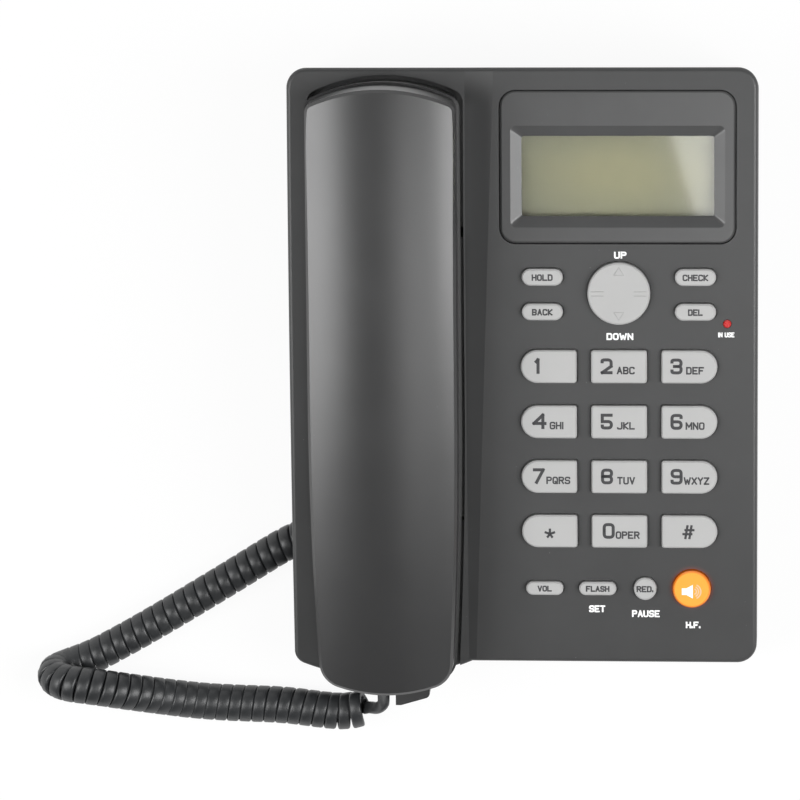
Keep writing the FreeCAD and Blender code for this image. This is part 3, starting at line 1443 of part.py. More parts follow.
def build_outer_shell():
    """Upper half of the handset, with the bosses that its screws drive into."""
    body = new_body("handset_outer_shell", deck_frame("handset_x"))
    handset_block(body, "0", "handset_top - split_level + 1", down=False)
    combine(body, "crown", crown_tool("crown_space", "0"))
    rim = max(vertex.Z for vertex in body.Tip.Shape.Vertexes)
    lowest = value("split_level")
    dress(body, "top_edge", "Chamfer", "shell_edge",
          lambda edge: edge.CenterOfMass.z > lowest + 3 and abs(edge.Vertexes[0].Z - edge.Vertexes[-1].Z) < 2
          and edge.CenterOfMass.z > rim - 12)
    hollow = new_body("outer_hollow", piece=False)
    handset_block(hollow, "-shell_wall", "handset_top - split_level + 1", down=False)
    combine(hollow, "hollow_crown", crown_tool("inner_crown_space", "shell_wall"))
    combine(body, "shell", hollow)
    for number, (x, v) in enumerate(HANDSET_SCREWS, start=1):
        boss = sketch_on(body, f"boss_{number}_plan", level=f"{CUP_FLOOR} + seat_gap")
        ring(boss, x, v, "handset_boss")
        ring(boss, x, v, "handset_pilot")
        pad(body, f"boss_{number}", boss, f"{crown_level(x, v)} - {CUP_FLOOR} - seat_gap")
    return body


def arch_cut(body):
    """Cut the arch under the handle, so that a cup is left at each end."""
    side = sketch_on(body, "arch_side", "YZ_Plane")
    below = f"{CUP_LOW} - shell_wall"
    closed(side, [
        ("-mouth_cup_start", below), ("-mouth_cup_start", CUP_LOW),
        ("-mouth_cup_start + cup_run", "handle_level"), ("ear_cup_start - cup_run", "handle_level"),
        ("ear_cup_start", CUP_LOW), ("ear_cup_start", below),
    ])
    return pocket(body, "arch", side, "2 * handset_width", both_ways=True)


def inner_hollow():
    """The space inside the lower half of the handset, over its cups and its handle's floor."""
    body = new_body("inner_hollow", piece=False)
    handset_block(body, "rim_reach - shell_wall", f"split_level - {CUP_FLOOR}", True, "draft_angle")
    side = sketch_on(body, "handle_floor_side", "YZ_Plane")
    level, low = "handle_level + shell_wall", f"{CUP_FLOOR} - 3"
    closed(side, [
        ("-mouth_cup_start - shell_wall", low), ("-mouth_cup_start + cup_run - shell_wall", level),
        ("ear_cup_start - cup_run + shell_wall", level), ("ear_cup_start + shell_wall", low),
    ])
    pocket(body, "handle_floor", side, "handset_width + 20", both_ways=True)
    return body


def build_inner_shell():
    """Lower half of the handset: two cups, the handle's floor and the chin with the cord's socket."""
    body = new_body("handset_inner_shell", deck_frame("handset_x"))
    handset_block(body, "rim_reach", f"split_level - {CUP_LOW}", True, "draft_angle")
    chin = sketch_on(body, "chin_plan", level="chin_bottom")
    left, right = "chin_left - handset_x", "chin_right - handset_x"
    closed(chin, [
        (left, "-handset_front + shell_wall"), (right, "-handset_front + shell_wall"),
        (right, "-chin_tip + chin_slant"), (f"{left} + (chin_right - chin_left) / 2", "-chin_tip"),
        (left, "-chin_tip"),
    ])
    pad(body, "chin", chin, "chin_top - chin_bottom")
    heel = (value(right), value("-chin_tip + chin_slant"))
    dress(body, "chin_corner_round", "Fillet", "chin_corner", corners_at([heel]))
    arch_cut(body)
    combine(body, "cups", inner_hollow())
    tabs = sketch_on(body, "tabs_plan", level="handle_level + shell_wall / 2")
    face = "handset_width / 2 - shell_wall - tab_gap"
    for v in ("-tab_pitch", "0", "tab_pitch"):
        low, high = f"{v} - tab_length / 2", f"{v} + tab_length / 2"
        box_outline(tabs, f"{face} - tab_wall", face, low, high)
        box_outline(tabs, f"-({face})", f"-({face} - tab_wall)", low, high)
    pad(body, "tabs", tabs, "split_level + tab_height - handle_level - shell_wall / 2")
    shelf = sketch_on(body, "jack_shelf_plan", level=f"{CUP_FLOOR} - 0.5")
    x = "handset_jack_x - handset_x"
    box_outline(shelf, f"{x} - jack_width / 2", f"{x} + jack_width / 2",
                "jack_face", "jack_face + jack_length")
    pad(body, "jack_shelf", shelf, f"handset_jack_level - jack_height / 2 - {CUP_FLOOR} + 0.5")
    notch = sketch_on(body, "plug_notch_plan", level="2 * chin_bottom")
    box_outline(notch, f"{x} - plug_width / 2 - notch_gap", f"{x} + plug_width / 2 + notch_gap",
                "-chin_tip - chin_reach", "-handset_front - rim_reach")
    pocket(body, "plug_notch", notch, "chin_top + shell_wall - 2 * chin_bottom", up=True)
    port = sketch_on(body, "plug_port_plan", "XZ_Plane", "chin_tip")
    box_outline(port, f"{x} - plug_width / 2 - port_gap", f"{x} + plug_width / 2 + port_gap",
                "handset_jack_level - plug_height / 2 - latch_room",
                "handset_jack_level + plug_height / 2 + port_gap")
    pocket(body, "plug_port", port, "chin_tip + jack_face")
    dish = sketch_on(body, "dish_plan", level=CUP_LOW)
    ring(dish, "0", "ear_v", "dish_radius")
    pocket(body, "ear_dish", dish, "dish_depth", up=True)
    holes = sketch_on(body, "sound_holes_plan", level=CUP_LOW)
    ring(holes, "0", "ear_v", "sound_hole")
    for number in range(6):
        ring(holes, f"ear_hole_ring * cos({60 * number})", f"ear_v + ear_hole_ring * sin({60 * number})",
             "sound_hole")
    for offset in ("-mouth_hole_pitch", "0", "mouth_hole_pitch"):
        ring(holes, offset, "mouth_v", "sound_hole")
    for x, v in HANDSET_SCREWS:
        ring(holes, x, v, "handset_screw_radius + screw_gap")
    pocket(body, "floor_holes", holes, "shell_wall", up=True)
    heads = sketch_on(body, "screw_seats_plan", level=CUP_LOW)
    for x, v in HANDSET_SCREWS:
        ring(heads, x, v, "handset_head_radius + seat_gap")
    pocket(body, "screw_seats", heads, "handset_head_height + handset_head_sink", up=True)
    return body


def build_handset_contents():
    """Receiver, microphone, weight, socket, plug and screws of the handset."""
    over = Rotation(Vector(1, 0, 0), 180)
    ear = deck_frame("handset_x", "ear_v", CUP_FLOOR) * Placement(Vector(), over)
    sound_unit("receiver_capsule", "receiver_ring", ear, "receiver_radius", "receiver_height",
               "receiver_rim")
    mouth = deck_frame("handset_x", "mouth_v", CUP_FLOOR) * Placement(Vector(), over)
    microphone_pair("handset_microphone", "handset_microphone_boot", mouth)
    weight = new_body("handset_weight", deck_frame("handset_x"))
    plan = sketch_on(weight, "weight_plan", level="handle_level + shell_wall")
    box_outline(plan, "-weight_width / 2", "weight_width / 2", "-weight_length / 2", "weight_length / 2")
    pad(weight, "weight_bar", plan, "weight_height")
    chamfer_top(weight, "weight_edge", "weight_chamfer")
    turn = Placement(Vector(), Rotation(Vector(0, 0, 1), 90))
    reach = "-handset_front - handset_plug_reach"
    jack_body("handset_jack", deck_frame("handset_jack_x", "jack_face", "handset_jack_level") * turn,
              "jack_width", "jack_height", "jack_length", "plug_width + plug_gap",
              "plug_height + plug_gap", f"{reach} + plug_length - jack_face + plug_end_gap")
    plug_body("handset_plug", deck_frame("handset_jack_x", reach, "handset_jack_level") * turn)
    spots = [(x, v, f"{CUP_LOW} + handset_head_height + handset_head_sink") for x, v in HANDSET_SCREWS]
    screw_group("handset_screws", spots, "handset_screw_radius", "handset_screw_length",
                "handset_head_radius", "handset_head_height", deck_frame("handset_x"))


# Handset cord

CORD_STEPS = 4000
LONGEST_ARC = 5.0
SHORTEST_ARC = 1.0
CORD_SIDES = 5


def circle_arc(start, corner, end):
    """Arc that touches the lines from its corner to its two ends, and its radius."""
    middle = (start + end) / 2
    depth = (middle - corner).Length
    reach = (corner - start).Length
    if depth < 1e-6:
        return Part.LineSegment(start, end), math.inf
    radius = (start - middle).Length * reach / depth
    crown = corner + (middle - corner).normalize() * (math.hypot(reach, radius) - radius)
    return Part.Arc(start, crown, end), radius


def biarc(start, heading, end, final):
    """Two arcs that leave start along heading, meet smoothly and reach end along final."""
    step = end - start
    both = heading + final
    bend = 2 * (1 - heading.dot(final))
    along = step.dot(both)
    if bend < 1e-9:
        reach = step.dot(step) / (2 * along)
    else:
        reach = (-along + math.sqrt(along ** 2 + bend * step.dot(step))) / bend
    first, second = start + heading * reach, end - final * reach
    middle = (first + second) / 2
    return [circle_arc(start, first, middle), circle_arc(middle, second, end)]


def cord_line():
    """Ends of the plugs with their headings, and the smooth middle line between them."""
    wire = value("wire_diameter")
    base = Vector(value("bay_inner - plug_out - cord_gap"), value("mid_y + base_plug_y"),
                  value("base_plug_z"))
    place = deck_frame("handset_jack_x", "-handset_front - handset_plug_reach - cord_gap",
                       "handset_jack_level")
    up = place.Rotation.multVec(Vector(0, 1, 0))
    first, last = base - Vector(wire, 0, 0), place.Base - up * wire
    poles = [first] + [Vector(x, y + value("mid_y"), z) for x, y, z in CORD_ROUTE]
    poles += [last - up * (wire / 2), last]
    line = Part.BSplineCurve()
    line.buildFromPoles(poles, False, 2)
    return base, first, line, last, place.Base


def cord_points(line):
    """Places and headings along the cord, at each half turn of the curls and closer at the tails."""
    length = line.length()
    radius = (value("coil_diameter") - value("wire_diameter")) / 2
    pitch, ramp = value("coil_pitch"), value("coil_ramp")
    start, stop = value("base_tail"), length - value("handset_tail")
    count = CORD_STEPS
    spacing = length / count
    side = None
    phase = 0.0
    places, phases = [], []
    for number in range(count + 1):
        along = number * spacing
        at = line.parameterAtDistance(along)
        heading = line.tangent(at)[0]
        side = (side or Vector(0, 0, 1)) - heading * heading.dot(side or Vector(0, 0, 1))
        side.normalize()
        share = min(max(min(along - start, stop - along) / ramp, 0.0), 1.0)
        share = share * share * (3 - 2 * share)
        spread = heading.cross(side) * math.cos(phase) + side * math.sin(phase)
        places.append(line.value(at) + spread * (radius * share))
        phases.append(phase)
        widened = pitch / (1 - radius * min(line.curvature(at), 0.7 / radius))
        phase += 2 * math.pi * spacing / widened * share
    marks, last_phase, last_place = [0], 0.0, 0
    for number in range(1, count + 1):
        if phases[number] - last_phase >= math.pi or (number - last_place) * spacing > LONGEST_ARC:
            marks.append(number)
            last_phase, last_place = phases[number], number
    if (count - marks[-1]) * spacing < SHORTEST_ARC:
        marks.pop()
    marks.append(count)
    headings = [(places[min(m + 1, count)] - places[max(m - 1, 0)]).normalize() for m in marks]
    headings[0], headings[-1] = line.tangent(line.FirstParameter)[0], line.tangent(line.LastParameter)[0]
    turns = phases[-1] / (2 * math.pi)
    return [places[m] for m in marks], headings, turns


def least_gap(wire, diameter):
    """Smallest space between the cord and itself, measured on points along its middle line."""
    points = wire.discretize(Number=int(wire.Length))
    apart = int(4 * diameter)
    nearest = math.inf
    for i, point in enumerate(points):
        for other in points[i + apart:]:
            gap = abs(point.x - other.x)
            if gap < nearest and abs(point.y - other.y) < nearest:
                nearest = min(nearest, point.distanceToPoint(other))
    return nearest - diameter


def build_cord():
    """Curly cord between the two plugs: one unbroken tube on half-turn pairs of arcs."""
    base, first, line, last, end = cord_line()
    places, headings, turns = cord_points(line)
    edges, radii = [Part.LineSegment(base, first).toShape()], []
    for i in range(len(places) - 1):
        for curve, radius in biarc(places[i], headings[i], places[i + 1], headings[i + 1]):
            edges.append(curve.toShape())
            radii.append(radius)
    edges.append(Part.LineSegment(last, end).toShape())
    path = Part.Wire(edges)
    radius = value("wire_diameter") / 2
    angles = [2 * math.pi * i / CORD_SIDES for i in range(CORD_SIDES)]
    corners = [base + Vector(0, radius * math.cos(a), radius * math.sin(a)) for a in angles]
    section = Part.makePolygon(corners + corners[:1])
    shell = Part.BRepOffsetAPI.MakePipeShell(path)
    shell.add(section)
    shell.build()
    shell.makeSolid()
    cord = doc.addObject("Part::Feature", "handset_cord")
    cord.Label = "handset_cord"
    cord.Shape = shell.shape()
    cord.Placement = Placement()
    parts.append(cord)
    area = Part.Face(section).Area
    print(f"cord: {turns:.1f} turns, path {path.Length:.0f} mm, smallest radius {min(radii):.2f} mm")
    print(f"cord: volume {cord.Shape.Volume:.0f}, section times length {area * path.Length:.0f}")
    print(f"cord: least gap to itself {least_gap(path, 2 * radius):.2f} mm")


# The whole telephone

def build_all():
    """Build every piece, check each one and write it to its own file."""
    build_top_housing()
    build_bottom_cover()
    build_feet()
    build_case_screws()
    build_display()
    build_keys()
    build_disc()
    build_lamp()
    build_keypad_board()
    build_membrane()
    build_main_board()
    build_sockets()
    build_hook()
    build_speaker()
    build_base_microphone()
    build_outer_shell()
    build_inner_shell()
    build_handset_contents()
    build_cord()
    doc.recompute()
    for item in doc.Objects:
        if "Invalid" in item.State or "Error" in item.State:
            raise ValueError(f"{item.Label} failed: {item.State}")
    for piece in parts:
        if piece.Shape.isNull() or not piece.Shape.isValid():
            raise ValueError(f"{piece.Label} has no valid shape")
    os.makedirs("parts", exist_ok=True)
    for piece in parts:
        piece.Shape.exportStep(f"parts/{piece.Label}.step")
    print(f"{len(parts)} pieces written")


build_all()
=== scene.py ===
"""Dresses the corded desk telephone around its CAD frame: finishes, lettering and curly cord."""

import logging
import math
from dataclasses import dataclass, field
from enum import Enum
from typing import Sequence

import bpy
from mathutils import Euler, Matrix, Vector


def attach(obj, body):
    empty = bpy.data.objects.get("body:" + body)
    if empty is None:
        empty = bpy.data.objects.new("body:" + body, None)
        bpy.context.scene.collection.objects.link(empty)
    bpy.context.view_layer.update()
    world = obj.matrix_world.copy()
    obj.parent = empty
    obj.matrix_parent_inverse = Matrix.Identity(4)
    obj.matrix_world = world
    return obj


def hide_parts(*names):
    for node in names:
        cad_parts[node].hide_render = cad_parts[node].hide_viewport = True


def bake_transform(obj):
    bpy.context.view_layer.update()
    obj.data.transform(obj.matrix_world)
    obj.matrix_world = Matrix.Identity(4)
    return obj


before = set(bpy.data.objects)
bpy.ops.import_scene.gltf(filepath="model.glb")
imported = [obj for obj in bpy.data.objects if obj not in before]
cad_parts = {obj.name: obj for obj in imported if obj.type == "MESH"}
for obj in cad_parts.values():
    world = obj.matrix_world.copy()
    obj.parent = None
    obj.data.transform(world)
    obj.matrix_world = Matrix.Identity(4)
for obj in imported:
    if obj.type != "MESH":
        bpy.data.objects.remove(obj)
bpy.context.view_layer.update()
NODES: dict[str, bpy.types.Object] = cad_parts
LOG = logging.getLogger("telephone")

MM = 0.001
# Places on the deck as x and v, and heights over its surface, in millimetres
KEY_RISE = 2.2
SPEAKER_KEY = (59.5, -79.1)
NAVIGATION_DISC = (34.0, 27.6)
DISC_RISE = 2.6
DISPLAY_MIDDLE = (33.6, 68.5)
INK_RELIEF = 0.05
# Values that several materials use
BLACK = (0.0, 0.0, 0.0, 1.0)
WHITE = (1.0, 1.0, 1.0, 1.0)
# Red of the painted glow round the lit hands-free key
PAINTED_HALO_RED = (1.0, 0.09, 0.02, 1.0)
DUST_GREY = (0.42, 0.42, 0.4, 1.0)
MASK_GREEN = (0.01, 0.075, 0.03, 1.0)
TRACK_GREEN = (0.05, 0.2, 0.08, 1.0)
BASE = "base"


class Lay(Enum):
    """How a flat piece lies on the deck."""

    CURVED = "on the curved deck"
    STRAIGHT = "square to the deck's straight line"


# Frame along the deck


@dataclass(frozen=True)
class Deck:
    """The sloping deck: x runs across, v up the slope from its middle, and n square to it."""

    tilt: float = math.radians(8.6)
    middle: tuple[float, float, float] = (0.0, 7.6927, 41.9552)
    radius: float = 1425.1
    crown: float = 4.0

    @property
    def straight(self) -> Matrix:
        """Frame of the deck's straight line, in metres."""
        return Matrix.Translation(Vector(self.middle) * MM) @ Matrix.Rotation(self.tilt, 4, "X")

    def rise(self, v: float) -> float:
        """Height of the surface over its straight line at v, in millimetres."""
        return math.sqrt(self.radius**2 - v**2) - self.radius + self.crown

    def place(self, x: float, v: float, above: float = 0.0, lay: Lay = Lay.CURVED) -> Matrix:
        """Matrix that sets a flat piece on the deck.

        Args:
            x: Place across the deck, in millimetres.
            v: Place along the deck.
            above: Height over the surface.
            lay: Whether the piece leans with the surface.

        Returns:
            The matrix, with its translation in metres.
        """
        move = Vector((x, v, self.rise(v) + above)) * MM
        lean = -math.asin(v / self.radius) if lay is Lay.CURVED else 0.0
        return self.straight @ Matrix.Translation(move) @ Matrix.Rotation(lean, 4, "X")

    def point(self, x: float, v: float, n: float) -> Vector:
        """A point of the deck's straight frame, in metres."""
        return self.straight @ (Vector((x, v, n)) * MM)


DECK = Deck()


# Helpers for shader nodes

Tree = bpy.types.NodeTree
Socket = bpy.types.NodeSocket
Channels = tuple[float, float, float]


def new_group(
    name: str, inputs: Sequence[tuple[str, str]], outputs: Sequence[tuple[str, str]]
) -> tuple[Tree, bpy.types.Node, bpy.types.Node]:
    """Make an empty shader node group with named sockets.

    Args:
        name: Name of the group.
        inputs: Socket names and kinds that come in.
        outputs: Socket names and kinds that go out.

    Returns:
        The group's tree, its input node and its output node.
    """
    tree = bpy.data.node_groups.new(name, "ShaderNodeTree")
    for direction, sockets in (("INPUT", inputs), ("OUTPUT", outputs)):
        for label, kind in sockets:
            tree.interface.new_socket(label, in_out=direction, socket_type=f"NodeSocket{kind}")
    return tree, tree.nodes.new("NodeGroupInput"), tree.nodes.new("NodeGroupOutput")


def feed(tree: Tree, node: bpy.types.Node, links: dict) -> None:
    """Give a node's sockets their values or the sockets that feed them.

    Args:
        tree: The node tree.
        node: The node.
        links: Socket name or number to a value, or to the socket that feeds it.
    """
    for name, value in links.items():
        if isinstance(value, Socket):
            tree.links.new(value, node.inputs[name])
        else:
            node.inputs[name].default_value = value


def add_node(tree: Tree, kind: str, links: dict | None = None, **settings) -> bpy.types.Node:
    """Add a node, set its properties and values, and link what comes in.

    Args:
        tree: The node tree.
        kind: The node's type, without "ShaderNode".
        links: Socket name or number to a value, or to the socket that feeds it.
        **settings: Properties of the node.

    Returns:
        The new node.
    """
    node = tree.nodes.new(f"ShaderNode{kind}")
    for name, value in settings.items():
        setattr(node, name, value)
    feed(tree, node, links or {})
    return node


def calc(tree: Tree, operation: str, first: float | Socket, second: float | Socket) -> Socket:
    """Join two values by a math operation."""
    return add_node(tree, "Math", {0: first, 1: second}, operation=operation).outputs[0]


def fade(tree: Tree, value: Socket, start: float, end: float, first: float | Socket = 0.0,
         last: float | Socket = 1.0) -> Socket:
    """Turn a value into a level that goes from one to another over a range.

    Args:
        tree: The node tree.
        value: The value.
        start: Where the range starts.
        end: Where it ends.
        first: The level at its start.
        last: The level at its end.

    Returns:
        The level.
    """
    return add_node(tree, "MapRange", {"Value": value, "From Min": start, "From Max": end,
                                       "To Min": first, "To Max": last}).outputs["Result"]


def noise(tree: Tree, place: Socket, scale: float | Socket, detail: float,
          rough: float = 0.5) -> Socket:
    """Cloudy noise over a place."""
    return add_node(tree, "TexNoise", {"Vector": place, "Scale": scale, "Detail": detail,
                                       "Roughness": rough}).outputs["Fac"]


def mixed(tree: Tree, share: Socket, low: tuple | Socket, high: tuple | Socket) -> Socket:
    """Mix two colours by a share."""
    return add_node(tree, "Mix", {"Factor": share, 6: low, 7: high}, data_type="RGBA").outputs[2]


def shaded(tree: Tree, value: Socket, colour: Channels, darker: float) -> Socket:
    """Ramp from a darker shade of a colour to the colour itself.

    Args:
        tree: The node tree.
        value: Where on the ramp a place lies, from 0 to 1.
        colour: The colour.
        darker: Brightness of the darker shade as a share of the colour's.

    Returns:
        The shaded colour.
    """
    ramp = add_node(tree, "ValToRGB", {"Fac": value})
    ramp.color_ramp.elements[0].color = (*(channel * darker for channel in colour), 1.0)
    ramp.color_ramp.elements[1].color = (*colour, 1.0)
    return ramp.outputs["Color"]


def bumped(tree: Tree, strength: float, height: Socket, distance: float = 0.0001) -> Socket:
    """Normal of a surface raised by a height."""
    return add_node(tree, "Bump", {"Strength": strength, "Distance": distance,
                                   "Height": height}).outputs[0]


def seen_share(tree: Tree) -> Socket:
    """Tell the rays from the camera or off a glossy or clear surface from the others.

    Args:
        tree: The node tree.

    Returns:
        1 for those rays and 0 for the others.
    """
    path = add_node(tree, "LightPath").outputs
    shiny = calc(tree, "MAXIMUM", path["Is Glossy Ray"], path["Is Transmission Ray"])
    return calc(tree, "MAXIMUM", path["Is Camera Ray"], shiny)


def new_material(name: str) -> tuple[bpy.types.Material, Tree, bpy.types.Node, Socket]:
    """Make a material.

    Args:
        name: Name of the material.

    Returns:
        The material, its tree, its Principled BSDF and the socket of the object's coordinates.
    """
    made = bpy.data.materials.new(name)
    made.use_nodes = True
    tree = made.node_tree
    return made, tree, tree.nodes["Principled BSDF"], add_node(tree, "TexCoord").outputs["Object"]


# Node groups that more than one finish uses


def moulded_skin_group() -> Tree:
    """Make the fine skin of moulded plastic: cloudy tone, tiny grain and a few dust specks.

    Returns:
        The group's tree.
    """
    tree, inside, outside = new_group(
        "moulded_skin",
        [("Place", "Vector"), ("Colour", "Color"), ("Cloud", "Float"), ("Cloud scale", "Float"),
         ("Grain scale", "Float"), ("Specks", "Float"), ("Roughness", "Float")],
        [("Colour", "Color"), ("Roughness", "Float"), ("Height", "Float")],
    )
    given = inside.outputs
    place = given["Place"]
    cloud = noise(tree, place, given["Cloud scale"], 5.0, 0.62)
    share = calc(tree, "MULTIPLY", fade(tree, cloud, 0.3, 0.7, -1.0, 1.0), given["Cloud"])
    gain = calc(tree, "ADD", share, 1.0)
    toned = add_node(tree, "VectorMath", {0: given["Colour"], "Scale": gain}, operation="SCALE")
    dots = add_node(tree, "TexVoronoi", {"Vector": place, "Scale": 240.0})
    near = fade(tree, dots.outputs["Distance"], 0.05, 0.02)
    chosen = fade(tree, noise(tree, place, 55.0, 1.0), 0.54, 0.62)
    dust = calc(tree, "MULTIPLY", calc(tree, "MULTIPLY", near, chosen), given["Specks"])
    dull = fade(tree, cloud, 0.3, 0.7, -0.012, 0.012)
    feed(tree, outside, {"Colour": mixed(tree, dust, toned.outputs[0], DUST_GREY),
                         "Roughness": calc(tree, "ADD", dull, given["Roughness"]),
                         "Height": noise(tree, place, given["Grain scale"], 2.0)})
    return tree


def board_tracks_group() -> Tree:
    """Make the copper tracks under a circuit board's green mask.

    Returns:
        The group's tree.
    """
    tree, inside, outside = new_group("board_tracks", [("Place", "Vector")],
                                      [("Track", "Float"), ("Height", "Float")])
    place = inside.outputs["Place"]
    cells = add_node(tree, "TexBrick", {"Vector": place, "Scale": 90.0, "Mortar Size": 0.018,
                                        "Bias": -0.4}, offset=0.35, squash=1.6)
    bands = add_node(tree, "TexWave", {"Vector": place, "Scale": 120.0, "Distortion": 2.5,
                                       "Detail": 1.0}, bands_direction="DIAGONAL")
    step = fade(tree, bands.outputs["Fac"], 0.55, 0.62, 0.0, 0.6)
    track = calc(tree, "MAXIMUM", cells.outputs["Fac"], step)
    feed(tree, outside, {"Track": track, "Height": track})
    return tree


@dataclass
class Groups:
    """The node groups, each built once."""

    skin: Tree = field(default_factory=moulded_skin_group)
    tracks: Tree = field(default_factory=board_tracks_group)


GROUPS = Groups()


# Finishes


@dataclass(frozen=True)
class Plastic:
    """A moulded plastic or rubber; its halo is a painted glow, red emission round the lit key that
    stands in for its light on what lies round it.
    """

    name: str
    colour: Channels
    roughness: float = 0.45
    cloud: float = 0.06
    cloud_scale: float = 45.0
    grain_scale: float = 1500.0
    relief: float = 0.06
    specks: float = 0.0
    specular: float = 0.5
    coat: float = 0.0
    glow: float = 0.0
    halo: float = 0.0
    halo_far: float = 9.0
    halo_near: float = 6.8

    def material(self) -> bpy.types.Material:
        """Make the finish.

        Returns:
            The material.
        """
        made, tree, shader, place = new_material(self.name)
        skin = add_node(tree, "Group", {"Place": place, "Colour": (*self.colour, 1.0),
                                        "Cloud": self.cloud, "Cloud scale": self.cloud_scale,
                                        "Grain scale": self.grain_scale, "Specks": self.specks,
                                        "Roughness": self.roughness}, node_tree=GROUPS.skin).outputs
        feed(tree, shader, {"Base Color": skin["Colour"], "Roughness": skin["Roughness"],
                            "Normal": bumped(tree, self.relief, skin["Height"], 0.0002),
                            "Coat Weight": self.coat, "Coat Roughness": 0.12,
                            "Specular IOR Level": self.specular})
        # Glow: the part's own colour also emits; on the white and wave inks, which are no lamp, it
        # is a painted glow.
        if self.glow:
            feed(tree, shader, {"Emission Color": skin["Colour"], "Emission Strength": self.glow})
        # Painted glow: red emission on this finish round the hands-free key stands in for the light
        # the lit key casts on what lies round it.
        if self.halo:
            red = key_distance(tree, place, self.halo_far, self.halo_near, BLACK, PAINTED_HALO_RED)
            feed(tree, shader, {"Emission Color": red, "Emission Strength": self.halo})
        return made


def key_distance(tree: Tree, place: Socket, far: float, near: float, outer: tuple,
                 inner: tuple) -> Socket:
    """Blend two colours by the distance from the middle of the hands-free key.

    Args:
        tree: The node tree.
        place: The object's coordinates.
        far: Distance where the outer colour begins, in millimetres.
        near: Distance where the inner colour begins.
        outer: Colour far from the key's middle.
        inner: Colour near the key's middle.

    Returns:
        The blended colour.
    """
    middle = DECK.place(*SPEAKER_KEY, KEY_RISE).translation
    away = add_node(tree, "VectorMath", {0: place, 1: middle}, operation="DISTANCE")
    share = fade(tree, away.outputs["Value"], far * MM, near * MM)
    return mixed(tree, calc(tree, "POWER", share, 2.0), outer, inner)


@dataclass(frozen=True)
class LitKey:
    """The lit orange plastic of the hands-free key, redder towards its rim."""

    name: str
    middle: Channels = (0.95, 0.37, 0.05)
    rim: Channels = (0.7, 0.16, 0.01)
    rim_start: float = 5.8
    rim_end: float = 7.0

    def material(self) -> bpy.types.Material:
        """Make the finish.

        Returns:
            The material.
        """
        made, tree, shader, place = new_material(self.name)
        colour = key_distance(tree, place, self.rim_end, self.rim_start, (*self.rim, 1.0),
                              (*self.middle, 1.0))
        cloud = noise(tree, place, 260.0, 2.0)
        feed(tree, shader, {"Base Color": colour, "Emission Color": colour, "Roughness": 0.18,
                            "Normal": bumped(tree, 0.02, cloud), "Coat Weight": 0.5,
                            "Coat Roughness": 0.12, "Emission Strength": 0.12})
        return made


@dataclass(frozen=True)
class Metal:
    """A plated or drawn metal."""

    name: str
    colour: Channels
    roughness: float = 0.3
    streak_scale: float = 900.0

    def material(self) -> bpy.types.Material:
        """Make the finish.

        Returns:
            The material.
        """
        made, tree, shader, place = new_material(self.name)
        streaks = noise(tree, place, self.streak_scale, 3.0)
        rough = fade(tree, streaks, 0.0, 1.0, self.roughness - 0.08, self.roughness + 0.1)
        feed(tree, shader, {"Base Color": shaded(tree, streaks, self.colour, 0.72),
                            "Roughness": rough, "Normal": bumped(tree, 0.08, streaks),
                            "Metallic": 1.0})
        return made


@dataclass(frozen=True)
class Board:
    """A circuit board with its tracks under green mask."""

    name: str

    def material(self) -> bpy.types.Material:
        """Make the finish.

        Returns:
            The material.
        """
        made, tree, shader, place = new_material(self.name)
        tracks = add_node(tree, "Group", {"Place": place}, node_tree=GROUPS.tracks).outputs
        feed(tree, shader, {"Base Color": mixed(tree, tracks["Track"], MASK_GREEN, TRACK_GREEN),
                            "Normal": bumped(tree, 0.3, tracks["Height"]), "Roughness": 0.3})
        return made


@dataclass(frozen=True)
class Clear:
    """A clear or tinted plastic that light passes through."""

    name: str
    colour: Channels
    roughness: float = 0.03
    refraction: float = 1.49

    def material(self) -> bpy.types.Material:
        """Make the finish.

        Returns:
            The material.
        """
        made, tree, shader, place = new_material(self.name)
        haze = noise(tree, place, 160.0, 2.0)
        feed(tree, shader, {"Base Color": shaded(tree, haze, self.colour, 0.94),
                            "Roughness": self.roughness, "IOR": self.refraction,
                            "Transmission Weight": 1.0})
        return made


@dataclass(frozen=True)
class Crystal:
    """The grey-green face of an unlit display, with painted shade: warmer and lighter in its
    middle, greyer and darker towards its edges.
    """

    name: str
    middle: Channels = (0.54, 0.52, 0.34)
    # Colour of the painted shade at the display's edges
    edge: Channels = (0.4, 0.405, 0.32)
    squeeze: Channels = (24.0, 46.0, 1.0)

    def material(self) -> bpy.types.Material:
        """Make the finish.

        Returns:
            The material.
        """
        made, tree, shader, place = new_material(self.name)
        centre = DECK.place(*DISPLAY_MIDDLE)
        turned = add_node(tree, "Mapping", {"Vector": place, "Location": centre.translation,
                                            "Rotation": centre.to_euler()}, vector_type="TEXTURE")
        squeezed = add_node(tree, "Mapping", {"Vector": turned.outputs[0],
                                              "Scale": self.squeeze})
        # Painted shade: a falloff from the lighter, warmer middle to the darker, greyer edges.
        painted_shade_falloff = add_node(tree, "TexGradient", {"Vector": squeezed.outputs[0]},
                        gradient_type="SPHERICAL")
        spread = calc(tree, "MULTIPLY", noise(tree, place, 55.0, 3.0), 0.35)
        amount = add_node(tree, "Math", {0: painted_shade_falloff.outputs["Fac"], 1: spread}, operation="ADD",
                          use_clamp=True).outputs[0]
        cells = noise(tree, place, 1800.0, 1.0)
        colour = mixed(tree, amount, (*self.edge, 1.0), (*self.middle, 1.0))
        feed(tree, shader, {"Base Color": colour, "Normal": bumped(tree, 0.04, cells),
                            "Roughness": 0.32})
        return made


